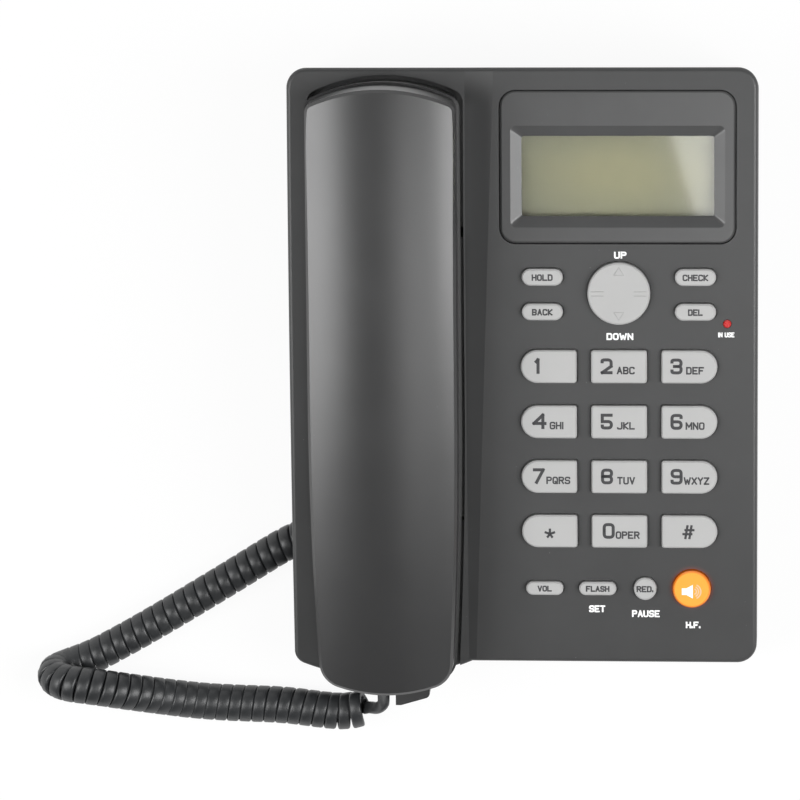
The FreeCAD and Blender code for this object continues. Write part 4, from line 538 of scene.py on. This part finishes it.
class Finishes:
    """Every finish of the telephone, made once and given to nodes and pieces by name."""

    def __init__(self) -> None:
        """Make the materials."""
        kinds = [
            Plastic("case", (0.046, 0.0465, 0.047), 0.43, specks=0.3, specular=0.55, halo=0.16),
            Plastic("handset_case", (0.024, 0.024, 0.0245), 0.3, specks=0.12, specular=0.8),
            Plastic("panel", (0.068, 0.0685, 0.069), 0.24, cloud=0.05, relief=0.02, specks=0.12,
                    specular=0.6),
            Plastic("key_face", (0.43, 0.43, 0.426), 0.38, cloud=0.02, relief=0.03),
            LitKey("speaker_key_face"),
            Plastic("legend_ink", (0.04, 0.04, 0.043), 0.5, cloud=0.03, relief=0.02),
            # The white and wave inks carry a painted glow.
            Plastic("label_ink", (0.9, 0.9, 0.9), 0.5, cloud=0.02, relief=0.02, glow=0.12),
            Plastic("wave_ink", (0.74, 0.46, 0.28), 0.5, cloud=0.02, relief=0.02, glow=0.1),
            # Painted shade: the disc's raised marks have the disc's own colour, darkened here to
            # stand in for their slight shading.
            Plastic("disc_mark_painted_shade", (0.37, 0.37, 0.367), 0.34, cloud=0.02, relief=0.02),
            Plastic("lamp_red", (0.5, 0.02, 0.02), 0.16, cloud=0.1, coat=0.6, glow=0.1),
            Plastic("cord_skin", (0.021, 0.0225, 0.024), 0.4, cloud=0.12, cloud_scale=90.0,
                    grain_scale=1100.0, relief=0.1, specular=0.62),
            Plastic("rubber_black", (0.02, 0.02, 0.021), 0.8, cloud=0.1, relief=0.2),
            Plastic("silicone", (0.34, 0.35, 0.35), 0.6, cloud=0.04),
            Plastic("socket_black", (0.03, 0.03, 0.032), 0.4, cloud=0.05),
            Metal("zinc_steel", (0.6, 0.6, 0.61), 0.3),
            Board("green_board"),
            Clear("window_clear", (0.97, 0.975, 0.95)),
            Clear("plug_clear", (0.9, 0.92, 0.93), 0.08, 1.58),
            Crystal("display_face"),
        ]
        self.made = {kind.name: kind.material() for kind in kinds}

    def give(self, item: bpy.types.Object, name: str) -> None:
        """Put a finish on an object's material slots.

        Args:
            item: The object.
            name: Name of the finish.
        """
        if not item.material_slots:
            item.data.materials.append(None)
        for slot in item.material_slots:
            slot.link = "OBJECT"
            slot.material = self.made[name]


NODE_FINISHES = {
    "case": ["top_housing", "bottom_cover", "hook_plunger"],
    "handset_case": ["handset_outer_shell", "handset_inner_shell"],
    "panel": ["display_panel"],
    "window_clear": ["display_window"],
    "display_face": ["lcd_panel"],
    "socket_black": ["lcd_holder", "speaker_ring", "receiver_ring", "receiver_capsule",
                     "loudspeaker", "hook_switch", "line_jack", "base_cord_jack", "handset_jack"],
    "plug_clear": ["base_plug", "handset_plug"],
    "lamp_red": ["in_use_lamp"],
    "green_board": ["keypad_board", "main_board"],
    "silicone": ["keypad_membrane"],
    "rubber_black": ["rubber_feet", "base_microphone_boot", "handset_microphone_boot"],
    "zinc_steel": ["base_screws", "keypad_board_screws", "main_board_screws", "handset_screws",
                   "handset_weight", "base_microphone", "handset_microphone"],
    "cord_skin": ["handset_cord"],
    "speaker_key_face": ["speaker_key"],
    "key_face": ["navigation_disc", "hold_key", "check_key", "back_key", "delete_key", "volume_key",
                 "flash_key", "redial_key", "key_star", "key_hash",
                 *(f"key_{i}" for i in range(10))],
}


# Helpers for meshes


def select_only(item: bpy.types.Object) -> None:
    """Make one object the only selected and active one.

    Args:
        item: The object.
    """
    bpy.ops.object.select_all(action="DESELECT")
    item.select_set(True)
    bpy.context.view_layer.objects.active = item


def smooth(item: bpy.types.Object, degrees: float = 35.0) -> None:
    """Shade smooth, with edges sharper than an angle kept sharp."""
    select_only(item)
    bpy.ops.object.shade_smooth_by_angle(angle=math.radians(degrees))


# Lettering

# Each stroke is a row of marks, x then y on a grid of 4 by 6; a full stop keeps its corner sharp.
GLYPHS = {
    "A": "00 26. 40|12 32", "B": "00. 40 43 03.|03. 43 46 06.|00 06", "C": "45 46 06 00 40 41",
    "D": "00. 40 46 06. 00.", "E": "46 06. 00. 40|03 33", "F": "46 06. 00|03 33",
    "G": "45 46 06 00 40 43. 23", "H": "00 06|40 46|03 43", "I": "00 06", "J": "01 00 40 46",
    "K": "00 06|46 03. 40", "L": "06 00. 40", "M": "00 06. 22. 46. 40", "N": "00 06. 40. 46",
    "O": "03 00 40 46 06 03", "P": "00 06. 46 43 03", "Q": "03 00 40 46 06 03|22 40",
    "R": "00 06. 46 43 03|23 40", "S": "45 46 06 03 43 40 00 01", "T": "06 46|26 20",
    "U": "06 00 40 46", "V": "06 20. 46", "W": "06 10. 24. 30. 46", "X": "00 46|06 40",
    "Y": "06 23. 46|23 20", "Z": "06 46. 00. 40",
    "0": "03 00 40 46 06 03", "1": "05 26. 20", "2": "05 06 46 43. 00. 40",
    "3": "05 06 46 43 13|23 43 40 00 01", "4": "40 46. 02. 52", "5": "46 06. 03. 43 40 00 01",
    "6": "45 46 06 00 40 43 03", "7": "06 46. 10", "8": "03 00 40 43 03|03 06 46 43 03",
    "9": "01 00 40 46 06 03 43", "*": "23 26|23 44|23 04|23 31|23 11",
    "#": "10 26|30 46|02 42|14 54", ".": "00 01",
}
NARROW = {"I": 0.0, ".": 0.3, "1": 2.4, " ": 1.6, "M": 5.0, "W": 5.6}
GLYPH_WIDTH = 4.0
GLYPH_HEIGHT = 6.0
LETTER_SPACE = 2.0
CORNER_REACH = 1.5
STROKE_END = 0.42


def rounded(
    points: Sequence[tuple[float, float, bool]], reach: float, steps: int = 5
) -> list[Vector]:
    """Round the inner corners of a run of points.

    Args:
        points: x, y and whether the corner stays sharp.
        reach: How far from its corner a round starts.
        steps: Pieces of each round.

    Returns:
        The points of the rounded line.
    """
    line = [Vector(points[0][:2])]
    for before, here, after in zip(points, points[1:], points[2:]):
        corner = Vector(here[:2])
        if here[2]:
            line.append(corner)
            continue
        back, on = Vector(before[:2]) - corner, Vector(after[:2]) - corner
        start = corner + back.normalized() * min(reach, back.length / 2)
        end = corner + on.normalized() * min(reach, on.length / 2)
        for step in range(steps + 1):
            t = step / steps
            line.append(start * (1 - t) ** 2 + corner * (2 * t * (1 - t)) + end * t**2)
    line.append(Vector(points[-1][:2]))
    return line


def lengthened(run: Sequence[Vector], reach: float) -> list[Vector]:
    """Push both ends of a stroke outward, so that strokes meet in full corners.

    Args:
        run: Points of the stroke.
        reach: How far each end moves.

    Returns:
        The points of the longer stroke.
    """
    head = run[0] + (run[0] - run[1]).normalized() * reach
    tail = run[-1] + (run[-1] - run[-2]).normalized() * reach
    return [head, *run[1:-1], tail]


@dataclass(frozen=True)
class Words:
    """A printed legend: words, place, size and its drop within the surface, in millimetres."""

    name: str
    words: str
    x: float
    v: float
    height: float
    width: float
    weight: float
    above: float = 0.0
    body: str = BASE
    finish: str = "legend_ink"
    drop: float = 0.0

    def strokes(self) -> list[list[Vector]]:
        """Lay out the legend's pen strokes about its middle.

        Returns:
            Points of each stroke, in millimetres.
        """
        pen = 0.0
        runs: list[list[Vector]] = []
        for letter in self.words:
            wide = NARROW.get(letter, GLYPH_WIDTH)
            for stroke in GLYPHS.get(letter, "").split("|"):
                if not stroke:
                    continue
                marks = [(int(m[0]) * wide / GLYPH_WIDTH + pen, float(m[1]), m.endswith("."))
                         for m in stroke.split()]
                sharp = [i for i, mark in enumerate(marks) if mark[2] and 0 < i < len(marks) - 1]
                for first, last in zip([0, *sharp], [*sharp, len(marks) - 1]):
                    runs.append(rounded(marks[first:last + 1], CORNER_REACH))
            pen += wide + LETTER_SPACE
        total = max(pen - LETTER_SPACE, 1.0)
        across = (self.width - self.weight) / total
        tall = (self.height - self.weight) / GLYPH_HEIGHT
        placed = [[Vector(((p.x - total / 2) * across,
                           (p.y - GLYPH_HEIGHT / 2) * tall - self.drop)) for p in run]
                  for run in runs]
        return [lengthened(run, self.weight * STROKE_END) for run in placed]

    def build(self, finishes: Finishes) -> None:
        """Lay the legend on its key or on the deck, as flat ink.

        Args:
            finishes: The telephone's finishes.
        """
        lay = Lay.CURVED if self.body == BASE else Lay.STRAIGHT
        piece = pen_piece(self.name, self.strokes(), self.weight, INK_RELIEF,
                          DECK.place(self.x, self.v, self.above, lay))
        finishes.give(piece, self.finish)
        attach(piece, self.body)


def pen_piece(name: str, runs: Sequence[Sequence[Vector]], weight: float, relief: float,
              place: Matrix) -> bpy.types.Object:
    """Draw strokes of one weight as low raised lines.

    Args:
        name: Name of the piece.
        runs: Points of each stroke, in millimetres.
        weight: Width of the strokes.
        relief: Height of the strokes over their surface.
        place: Matrix of the surface.

    Returns:
        The mesh, with its place in its vertices.
    """
    line = bpy.data.curves.new(name, "CURVE")
    line.dimensions = "3D"
    line.bevel_depth = weight / 2 * MM
    line.bevel_resolution = 1
    line.use_fill_caps = True
    for run in runs:
        spline = line.splines.new("POLY")
        spline.points.add(len(run) - 1)
        for point, place_on in zip(spline.points, run):
            point.co = (place_on.x * MM, place_on.y * MM, 0.0, 1.0)
    item = bpy.data.objects.new(name, line)
    bpy.context.scene.collection.objects.link(item)
    select_only(item)
    bpy.ops.object.convert(target="MESH")
    piece = bpy.context.view_layer.objects.active
    piece.name = name
    piece.data.transform(place @ Matrix.Diagonal((1.0, 1.0, relief / (weight / 2), 1.0)))
    smooth(piece)
    return piece


# Keys


@dataclass
class Keypad:
    """The keys' legends, the deck's labels and the disc's marks."""

    finishes: Finishes
    column: tuple[float, float, float] = (9.3, 34.0, 58.7)
    first_row: float = 1.5
    row_pitch: float = 19.85
    digit_height: float = 5.7
    digit_weight: float = 1.12
    digit_lift: float = 0.3
    letter_height: float = 2.75
    letter_weight: float = 0.58
    letter_drop: float = 1.2
    letter_unit: float = 0.36
    symbol_weight: float = 0.85
    key_weight: float = 0.54
    mark_weight: float = 0.34
    mark_relief: float = 0.14
    sign_drop: float = 0.8
    wave_radii: tuple[float, float, float] = (1.1, 1.9, 2.7)
    wave_middle: float = 0.5
    wave_angle: float = 64.0
    wave_weight: float = 0.46

    def dial_legends(self) -> list[Words]:
        """Place the digit and letters of each of the twelve dial keys.

        Returns:
            The legends.
        """
        rows = [("1", "2 ABC", "3 DEF"), ("4 GHI", "5 JKL", "6 MNO"),
                ("7 PQRS", "8 TUV", "9 WXYZ"), ("*", "0 OPER", "#")]
        digit_shift, letter_shift = (-3.7, -4.3, -4.5), (2.7, 2.4, 2.0)
        symbols = {"*": (0.1, 0.9, 4.05, 3.9), "#": (-0.7, 0.0, 5.2, 3.7)}
        made = []
        for row, texts in enumerate(rows):
            for column, text in enumerate(texts):
                digit, _, letters = text.partition(" ")
                key = {"*": "key_star", "#": "key_hash"}.get(digit, f"key_{digit}")
                x, v = self.column[column], self.first_row - row * self.row_pitch
                if digit in symbols:
                    across, low, tall, wide = symbols[digit]
                    made.append(Words(f"legend_{key}", digit, x + across, v, tall, wide,
                                      self.symbol_weight, KEY_RISE, key, drop=low))
                    continue
                wide = 2.5 if digit == "1" else 4.3
                shift = digit_shift[column] + (0.5 if digit == "0" else 0.0)
                made.append(Words(f"legend_{key}", digit, x + shift, v, self.digit_height, wide,
                                  self.digit_weight, KEY_RISE, key, drop=-self.digit_lift))
                if letters:
                    units = sum(NARROW.get(mark, GLYPH_WIDTH) + LETTER_SPACE for mark in letters)
                    spread = self.letter_unit * (units - LETTER_SPACE) + self.letter_weight
                    shift = letter_shift[column] + (0.5 if len(letters) > 3 else 0.0)
                    made.append(Words(f"letters_{key}", letters, x + shift, v, self.letter_height,
                                      spread, self.letter_weight, KEY_RISE, key,
                                      drop=self.letter_drop))
        return made

    def function_legends(self) -> list[Words]:
        """Place the words on the menu keys and the lower keys.

        Returns:
            The legends.
        """
        left, right, upper, lower, low = 7.2, 60.8, 33.3, 21.0, SPEAKER_KEY[1]
        rows = [("hold_key", "HOLD", left, upper, 2.35, 7.4),
                ("check_key", "CHECK", right, upper, 2.35, 9.0),
                ("back_key", "BACK", left, lower, 2.35, 7.3),
                ("delete_key", "DEL", right, lower, 2.35, 5.2),
                ("volume_key", "VOL", 7.4, low, 2.2, 5.1),
                ("flash_key", "FLASH", 26.2, low, 2.2, 8.4),
                ("redial_key", "RED.", 43.0, low, 2.3, 6.1)]
        return [Words(f"legend_{key}", words, x, v, height, width, self.key_weight, KEY_RISE, key)
                for key, words, x, v, height, width in rows]

    def deck_labels(self) -> list[Words]:
        """Place the white words printed on the deck.

        Returns:
            The labels.
        """
        rows = [("UP", 34.5, 40.9, 2.5, 4.4, 0.58), ("DOWN", 34.3, 12.0, 2.5, 9.4, 0.56),
                ("IN USE", 71.6, 12.7, 1.75, 5.7, 0.36), ("SET", 25.9, -87.0, 2.6, 5.8, 0.58),
                ("PAUSE", 43.2, -88.7, 2.6, 9.9, 0.55), ("H.F.", 60.0, -92.8, 2.5, 5.3, 0.56)]
        return [Words("label_" + words.lower().replace(" ", "_").replace(".", ""), words, x, v,
                      height, width, weight, finish="label_ink")
                for words, x, v, height, width, weight in rows]

    def disc_marks(self) -> None:
        """Raised arrows at the disc's upper and lower edge and two bars at each side."""
        runs = []
        for way in (1, -1):
            foot, tip = 6.6 * way, 9.4 * way
            arrow = ((-1.7, foot), (0.0, tip), (1.7, foot), (-1.7, foot))
            runs.append([Vector(spot) for spot in arrow])
            for shift in (-0.75, 0.75):
                runs.append([Vector((5.3 * way, shift)), Vector((9.7 * way, shift))])
        piece = pen_piece("disc_marks", runs, self.mark_weight, self.mark_relief,
                          DECK.place(*NAVIGATION_DISC, DISC_RISE, Lay.STRAIGHT))
        # The marks get the darker finish, a painted shade.
        self.finishes.give(piece, "disc_mark_painted_shade")
        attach(piece, "navigation_disc")

    def speaker_mark(self) -> None:
        """White loudspeaker sign on the round hands-free key."""
        place = DECK.place(*SPEAKER_KEY, KEY_RISE, Lay.STRAIGHT)
        place = place @ Matrix.Translation((0.0, -self.sign_drop * MM, 0.0))
        outline = [(-3.5, -1.2), (-1.9, -1.2), (0.4, -2.5), (0.4, 2.5), (-1.9, 1.2), (-3.5, 1.2)]
        bpy.ops.object.select_all(action="DESELECT")
        bpy.ops.mesh.primitive_plane_add(size=1.0)
        horn = bpy.context.view_layer.objects.active
        horn.name = "legend_speaker_key"
        horn.data.clear_geometry()
        count = len(outline)
        rim = [(x * MM, y * MM, level) for level in (0.0, INK_RELIEF * MM) for x, y in outline]
        ends = [tuple(range(count, 2 * count)), tuple(range(count - 1, -1, -1))]
        sides = [(i, (i + 1) % count, count + (i + 1) % count, count + i) for i in range(count)]
        horn.data.from_pydata(rim, [], ends + sides)
        horn.data.transform(place)
        angles = [math.radians(-self.wave_angle + 2 * self.wave_angle * step / 10)
                  for step in range(11)]
        waves = [[Vector((self.wave_middle + radius * math.cos(angle), radius * math.sin(angle)))
                  for angle in angles] for radius in self.wave_radii]
        arcs = pen_piece("speaker_waves", waves, self.wave_weight, INK_RELIEF, place)
        for piece, finish in ((horn, "label_ink"), (arcs, "wave_ink")):
            self.finishes.give(piece, finish)
            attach(piece, "speaker_key")

    def build(self) -> None:
        """Lay every legend, label and mark."""
        for words in [*self.dial_legends(), *self.function_legends(), *self.deck_labels()]:
            words.build(self.finishes)
            LOG.info("printed %s", words.name)
        self.disc_marks()
        self.speaker_mark()
        LOG.info("raised the disc's marks and the loudspeaker sign")


# Handset cord

CORD_ROUTE = [
    (-72.5, -59.2, 9.2), (-86.0, -64.4, 7.8), (-103.5, -75.4, 7.4), (-122.2, -86.8, 7.0),
    (-136.8, -95.5, 6.9), (-150.0, -102.9, 6.9), (-158.7, -107.4, 6.9), (-166.8, -110.5, 6.9),
    (-170.7, -112.0, 10.7), (-170.0, -114.1, 16.1), (-165.0, -115.4, 19.9), (-156.3, -116.4, 20.2),
    (-147.8, -117.8, 18.2), (-139.6, -119.3, 14.8), (-130.6, -120.9, 11.0), (-118.6, -122.6, 7.9),
    (-105.6, -123.4, 6.9), (-88.1, -123.8, 6.9), (-74.3, -125.6, 6.9), (-65.9, -126.1, 7.8),
    (-60.2, -124.6, 11.0), (-56.1, -123.4, 17.0), (-52.8, -123.2, 23.5),
]


def eased(share: float) -> float:
    """A share from 0 to 1 that starts and ends gently."""
    share = min(max(share, 0.0), 1.0)
    return share * share * (3 - 2 * share)


@dataclass
class CurlyCord:
    """The flat cord wound into curls between the base's plug and the handset's plug."""

    finishes: Finishes
    base_exit: tuple[float, float, float] = (-63.7, -59.0, 9.6)
    base_lead: float = 3.4
    handset_exit: tuple[float, float, float] = (-50.4, -116.8, 3.6)
    handset_leads: tuple[float, float] = (5.1, 3.4)
    width: float = 4.38
    thickness: float = 2.3
    outer: float = 13.3
    slim: float = 12.2
    slim_reach: float = 95.0
    slim_run: float = 40.0
    pitch: float = 4.47
    ramp: float = 7.0
    base_tail: float = 0.5
    handset_tail: float = 19.0
    handset_ramp: float = 5.5
    upright_reach: float = 60.0
    upright_run: float = 20.0
    upright_share: float = 0.95
    least_level: float = 0.4
    exit_phase: float = math.radians(165.0)
    fold_pitch: float = 3.3
    fold_bend: float = 0.6
    fold_samples: int = 12
    heading_samples: int = 2
    spacing: float = 0.09
    turn_steps: int = 36
    section_corner: float = 0.8

    def route(self) -> list[Vector]:
        """Find the control points of the cord's middle line from plug to plug.

        Returns:
            The points, in metres.
        """
        start, *marks = [Vector((x, y + DECK.middle[1], z)) * MM
                         for x, y, z in [self.base_exit, *CORD_ROUTE]]
        x, v, n = self.handset_exit
        end = DECK.point(x, v, n)
        back = DECK.point(x, v - 1, n) - end
        return [start, start - Vector((self.base_lead, 0.0, 0.0)) * MM, *marks,
                *(end + back * lead for lead in self.handset_leads), end]

    def coil_radius(self, along: float) -> float:
        """Radius of the curls along the cord, slimmer on the stretch that leaves the base."""
        share = eased((along - self.slim_reach) / self.slim_run)
        return (self.slim + (self.outer - self.slim) * share - self.thickness) / 2

    def middle_line(self) -> list[Vector]:
        """Read the middle line from the route's smooth spline.

        Returns:
            Its points, in metres.
        """
        points = self.route()
        line = bpy.data.curves.new("cord_route", "CURVE")
        line.dimensions = "3D"
        line.resolution_u = 64
        spline = line.splines.new("NURBS")
        spline.points.add(len(points) - 1)
        for mark, point in zip(spline.points, points):
            mark.co = (*point, 1.0)
        spline.order_u = 3
        spline.use_endpoint_u = True
        item = bpy.data.objects.new("cord_route", line)
        bpy.context.scene.collection.objects.link(item)
        bpy.context.view_layer.update()
        graph = bpy.context.evaluated_depsgraph_get()
        mesh = bpy.data.meshes.new_from_object(item.evaluated_get(graph))
        found = [vertex.co.copy() for vertex in mesh.vertices]
        bpy.data.objects.remove(item)
        bpy.data.meshes.remove(mesh)
        return found

    @staticmethod
    def resample(line: Sequence[Vector], spacing: float) -> list[Vector]:
        """Set points at even spacing along a line.

        Args:
            line: Points of the line, in metres.
            spacing: Their new spacing, in metres.

        Returns:
            The even points.
        """
        found, carried = [line[0].copy()], 0.0
        for a, b in zip(line, line[1:]):
            step = (b - a).length
            while step > 0 and carried + step >= spacing:
                a = a + (b - a) * ((spacing - carried) / step)
                found.append(a.copy())
                step, carried = (b - a).length, 0.0
            carried += step
        found.append(line[-1].copy())
        return found

    @staticmethod
    def around(items: Sequence, number: int, reach: int = 1) -> tuple:
        """The items some places before and after one, kept within the row."""
        return items[max(number - reach, 0)], items[min(number + reach, len(items) - 1)]

    def tightness(self, line: Sequence[Vector], number: int, along: float) -> float:
        """Measure how tightly the coil folds at a point.

        Args:
            line: Even points of the middle line, in metres.
            number: Number of the point.
            along: Its way along the cord, in millimetres.

        Returns:
            0 on a straight run, up to 1 in the fold.
        """
        before, after = self.around(line, number, self.fold_samples)
        near, far = line[number] - before, after - line[number]
        if not near.length or not far.length:
            return 0.0
        bend = far.angle(near, 0.0) / (self.fold_samples * self.spacing)
        return min(bend * self.coil_radius(along) / self.fold_bend, 1.0)

    def curls(self, line: Sequence[Vector]) -> tuple[list[Vector], list[Vector]]:
        """Wind the strand about the middle line, with upright turns near the handset.

        Args:
            line: Even points of the middle line, in metres.

        Returns:
            Points of the strand and, at each, the direction away from the middle line.
        """
        total = (len(line) - 1) * self.spacing
        side, phase = Vector((0.0, 0.0, 1.0)), 0.0
        frames = []
        for number, point in enumerate(line):
            before, after = self.around(line, number, self.heading_samples)
            along = number * self.spacing
            left = total - along
            upright = eased((self.upright_reach - left) / self.upright_run)
            ahead = (after - before).normalized()
            level = max(math.hypot(ahead.x, ahead.y), self.least_level)
            flat = Vector((1.0, 1.0, 1 - self.upright_share * upright))
            heading = (ahead * flat).normalized()
            side = (side - heading * heading.dot(side)).normalized()
            start = eased((along - self.base_tail) / self.ramp)
            end = eased((left - self.handset_tail) / self.handset_ramp)
            radius = self.coil_radius(along) * start * end
            frames.append((point, heading.cross(side), side, radius, phase))
            tight = self.tightness(line, number, along) if left > self.upright_reach else 0.0
            pitch = self.pitch + (self.fold_pitch - self.pitch) * tight
            pitch *= 1 + (1 / level - 1) * upright
            phase += 2 * math.pi * self.spacing / pitch * start * end
        strand, outward = [], []
        for point, across, side, radius, turned in frames:
            angle = turned - phase + self.exit_phase
            away = across * math.cos(angle) + side * math.sin(angle)
            strand.append(point + away * (radius * MM))
            outward.append(away)
        return strand, outward

    def section(self) -> list[tuple[float, float]]:
        """Draw the rounded section of the flat cord.

        Returns:
            Points across its width and through its thickness, in metres.
        """
        half, thick, corner = self.width / 2, self.thickness / 2, self.section_corner
        spots = []
        for quarter, (across, through) in enumerate(((1, 1), (-1, 1), (-1, -1), (1, -1))):
            cx, cy = across * (half - corner), through * (thick - corner)
            for step in range(3):
                angle = math.radians(90 * quarter + 45 * step)
                spots.append(((cx + corner * math.cos(angle)) * MM,
                              (cy + corner * math.sin(angle)) * MM))
        return spots

    def ring_numbers(self, strand: Sequence[Vector]) -> list[int]:
        """Choose the points of the strand that carry a ring, turn_steps of them to a turn.

        Args:
            strand: Points of the strand, in metres.

        Returns:
            The points' numbers.
        """
        stride = math.pi * (self.outer - self.thickness) / self.turn_steps * MM
        kept, last = [0], strand[0]
        for number, point in enumerate(strand):
            if (point - last).length >= stride:
                kept.append(number)
                last = point
        return [*kept, len(strand) - 1]

    def build(self) -> None:
        strand, outward = self.curls(self.resample(self.middle_line(), self.spacing * MM))
        kept = self.ring_numbers(strand)
        spots = self.section()
        points, faces = [], []
        count = len(spots)
        for order, number in enumerate(kept):
            before, after = self.around(kept, order)
            heading = (strand[after] - strand[before]).normalized()
            away = (outward[number] - heading * heading.dot(outward[number])).normalized()
            across = heading.cross(away)
            points += [strand[number] + across * u + away * w for u, w in spots]
            if order:
                low, high = (order - 1) * count, order * count
                faces += [(low + i, low + (i + 1) % count, high + (i + 1) % count, high + i)
                          for i in range(count)]
        faces += [tuple(range(count - 1, -1, -1)),
                  tuple(range(len(points) - count, len(points)))]
        mesh = bpy.data.meshes.new("curly_cord")
        mesh.from_pydata([tuple(p) for p in points], [], faces)
        piece = bpy.data.objects.new("curly_cord", mesh)
        bpy.context.scene.collection.objects.link(piece)
        select_only(piece)
        bpy.ops.object.mode_set(mode="EDIT")
        bpy.ops.mesh.select_all(action="SELECT")
        bpy.ops.mesh.normals_make_consistent(inside=False)
        bpy.ops.object.mode_set(mode="OBJECT")
        smooth(piece, degrees=50.0)
        self.finishes.give(piece, "cord_skin")
        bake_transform(piece)
        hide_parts("handset_cord")


# Studio


@dataclass
class Studio:
    """The floor, the lamps, the world and the camera at the photograph's angle."""

    camera_place: tuple[float, float, float] = (0.0903, 0.091693, 1.8837)
    camera_turn: tuple[float, float, float] = (-2.964, 4.154, -0.014)
    sensor: float = 36.0
    picture_width: float = 800.0
    focal_pixels: float = 5233.0
    floor_glow: float = 0.93
    room_light: float = 0.22

    def camera(self) -> None:
        """Set the camera."""
        data = bpy.data.cameras.new("camera")
        data.lens = self.focal_pixels / self.picture_width * self.sensor
        data.sensor_width = self.sensor
        data.clip_start, data.clip_end = 0.1, 20.0
        item = bpy.data.objects.new("camera", data)
        item.location = self.camera_place
        item.rotation_euler = Euler([math.radians(angle) for angle in self.camera_turn], "XYZ")
        bpy.context.scene.collection.objects.link(item)
        bpy.context.scene.camera = item

    def floor(self) -> None:
        """Lay a plain white floor that keeps the object's soft shadow."""
        bpy.ops.object.select_all(action="DESELECT")
        bpy.ops.mesh.primitive_plane_add(size=8.0)
        item = bpy.context.view_layer.objects.active
        item.name = "floor"
        made, tree, shader, _ = new_material("floor_white")
        feed(tree, shader, {"Base Color": (0.9, 0.9, 0.9, 1.0), "Roughness": 0.9,
                            "Specular IOR Level": 0.1})
        white = add_node(tree, "Emission", {"Color": WHITE})
        share = calc(tree, "MULTIPLY", seen_share(tree), self.floor_glow)
        mix = add_node(tree, "MixShader", {0: share, 1: shader.outputs[0], 2: white.outputs[0]})
        tree.links.new(mix.outputs[0], tree.nodes["Material Output"].inputs["Surface"])
        item.data.materials.append(made)

    @staticmethod
    def lamp(name: str, place: tuple[float, float, float], size: tuple[float, float], power: float,
             turn: float | None = None) -> None:
        """Hang a rectangular soft lamp.

        Args:
            name: Name of the lamp.
            place: Its place, in metres.
            size: Its two sides.
            power: Its power in watts.
            turn: Turn of a lamp that faces straight down; without it the lamp faces the telephone.
        """
        data = bpy.data.lights.new(name, "AREA")
        data.shape = "RECTANGLE"
        data.size, data.size_y = size
        data.energy = power
        item = bpy.data.objects.new(name, data)
        item.location = place
        if turn is None:
            item.rotation_euler = (-Vector(place)).to_track_quat("-Z", "Y").to_euler()
        else:
            item.rotation_euler = (0.0, 0.0, turn)
        bpy.context.scene.collection.objects.link(item)

    def room(self) -> None:
        """White walls at the left and rear, darker ones at the right and front, a dim ceiling."""
        world = bpy.data.worlds.new("studio")
        world.use_nodes = True
        tree = world.node_tree
        place = add_node(tree, "TexCoord").outputs["Generated"]
        view = add_node(tree, "SeparateXYZ", {0: place}).outputs
        ceiling = fade(tree, view["Z"], 0.3, 0.75, 1.0, 0.12)
        right = fade(tree, view["X"], 0.4, 0.75, 1.0, 0.3)
        corner = fade(tree, view["X"], -0.45, 0.35, 0.02, 0.55)
        front = fade(tree, view["Y"], -0.35, -0.65, 1.0, corner)
        walls = calc(tree, "MULTIPLY", ceiling, calc(tree, "MULTIPLY", right, front))
        level = add_node(tree, "Mix", {0: seen_share(tree), 2: self.room_light, 3: walls})
        feed(tree, tree.nodes["Background"], {"Color": WHITE, "Strength": level.outputs[0]})
        bpy.context.scene.world = world

    def build(self) -> None:
        """Set the camera, the floor and the lights."""
        self.camera()
        self.floor()
        self.lamp("left_soft_lamp", (-0.95, -0.2, 1.15), (0.7, 0.85), 12.5)
        self.lamp("right_soft_lamp", (0.95, -0.16, 1.2), (0.7, 1.0), 18.5)
        self.lamp("window_lamp", (0.326, -0.547, 2.2), (0.5, 0.8), 4.3, turn=math.radians(16.4))
        self.room()
        bpy.context.scene.view_settings.view_transform = "Standard"
        LOG.info("set the studio")


def dress_nodes(finishes: Finishes) -> None:
    """Give every CAD node its finish.

    Args:
        finishes: The telephone's finishes.
    """
    for finish, names in NODE_FINISHES.items():
        for name in names:
            finishes.give(NODES[name], finish)
    left = sorted(set(NODES) - {name for names in NODE_FINISHES.values() for name in names})
    if left:
        raise ValueError(f"these nodes have no finish: {left}")
    LOG.info("dressed %d nodes", len(NODES))


def main() -> None:
    """Build the telephone's looks in order."""
    logging.basicConfig(level=logging.INFO, format="%(name)s: %(message)s")
    bpy.ops.object.select_all(action="DESELECT")
    Studio().build()
    finishes = Finishes()
    CurlyCord(finishes).build()
    dress_nodes(finishes)
    Keypad(finishes).build()


if __name__ == "__main__":
    main()
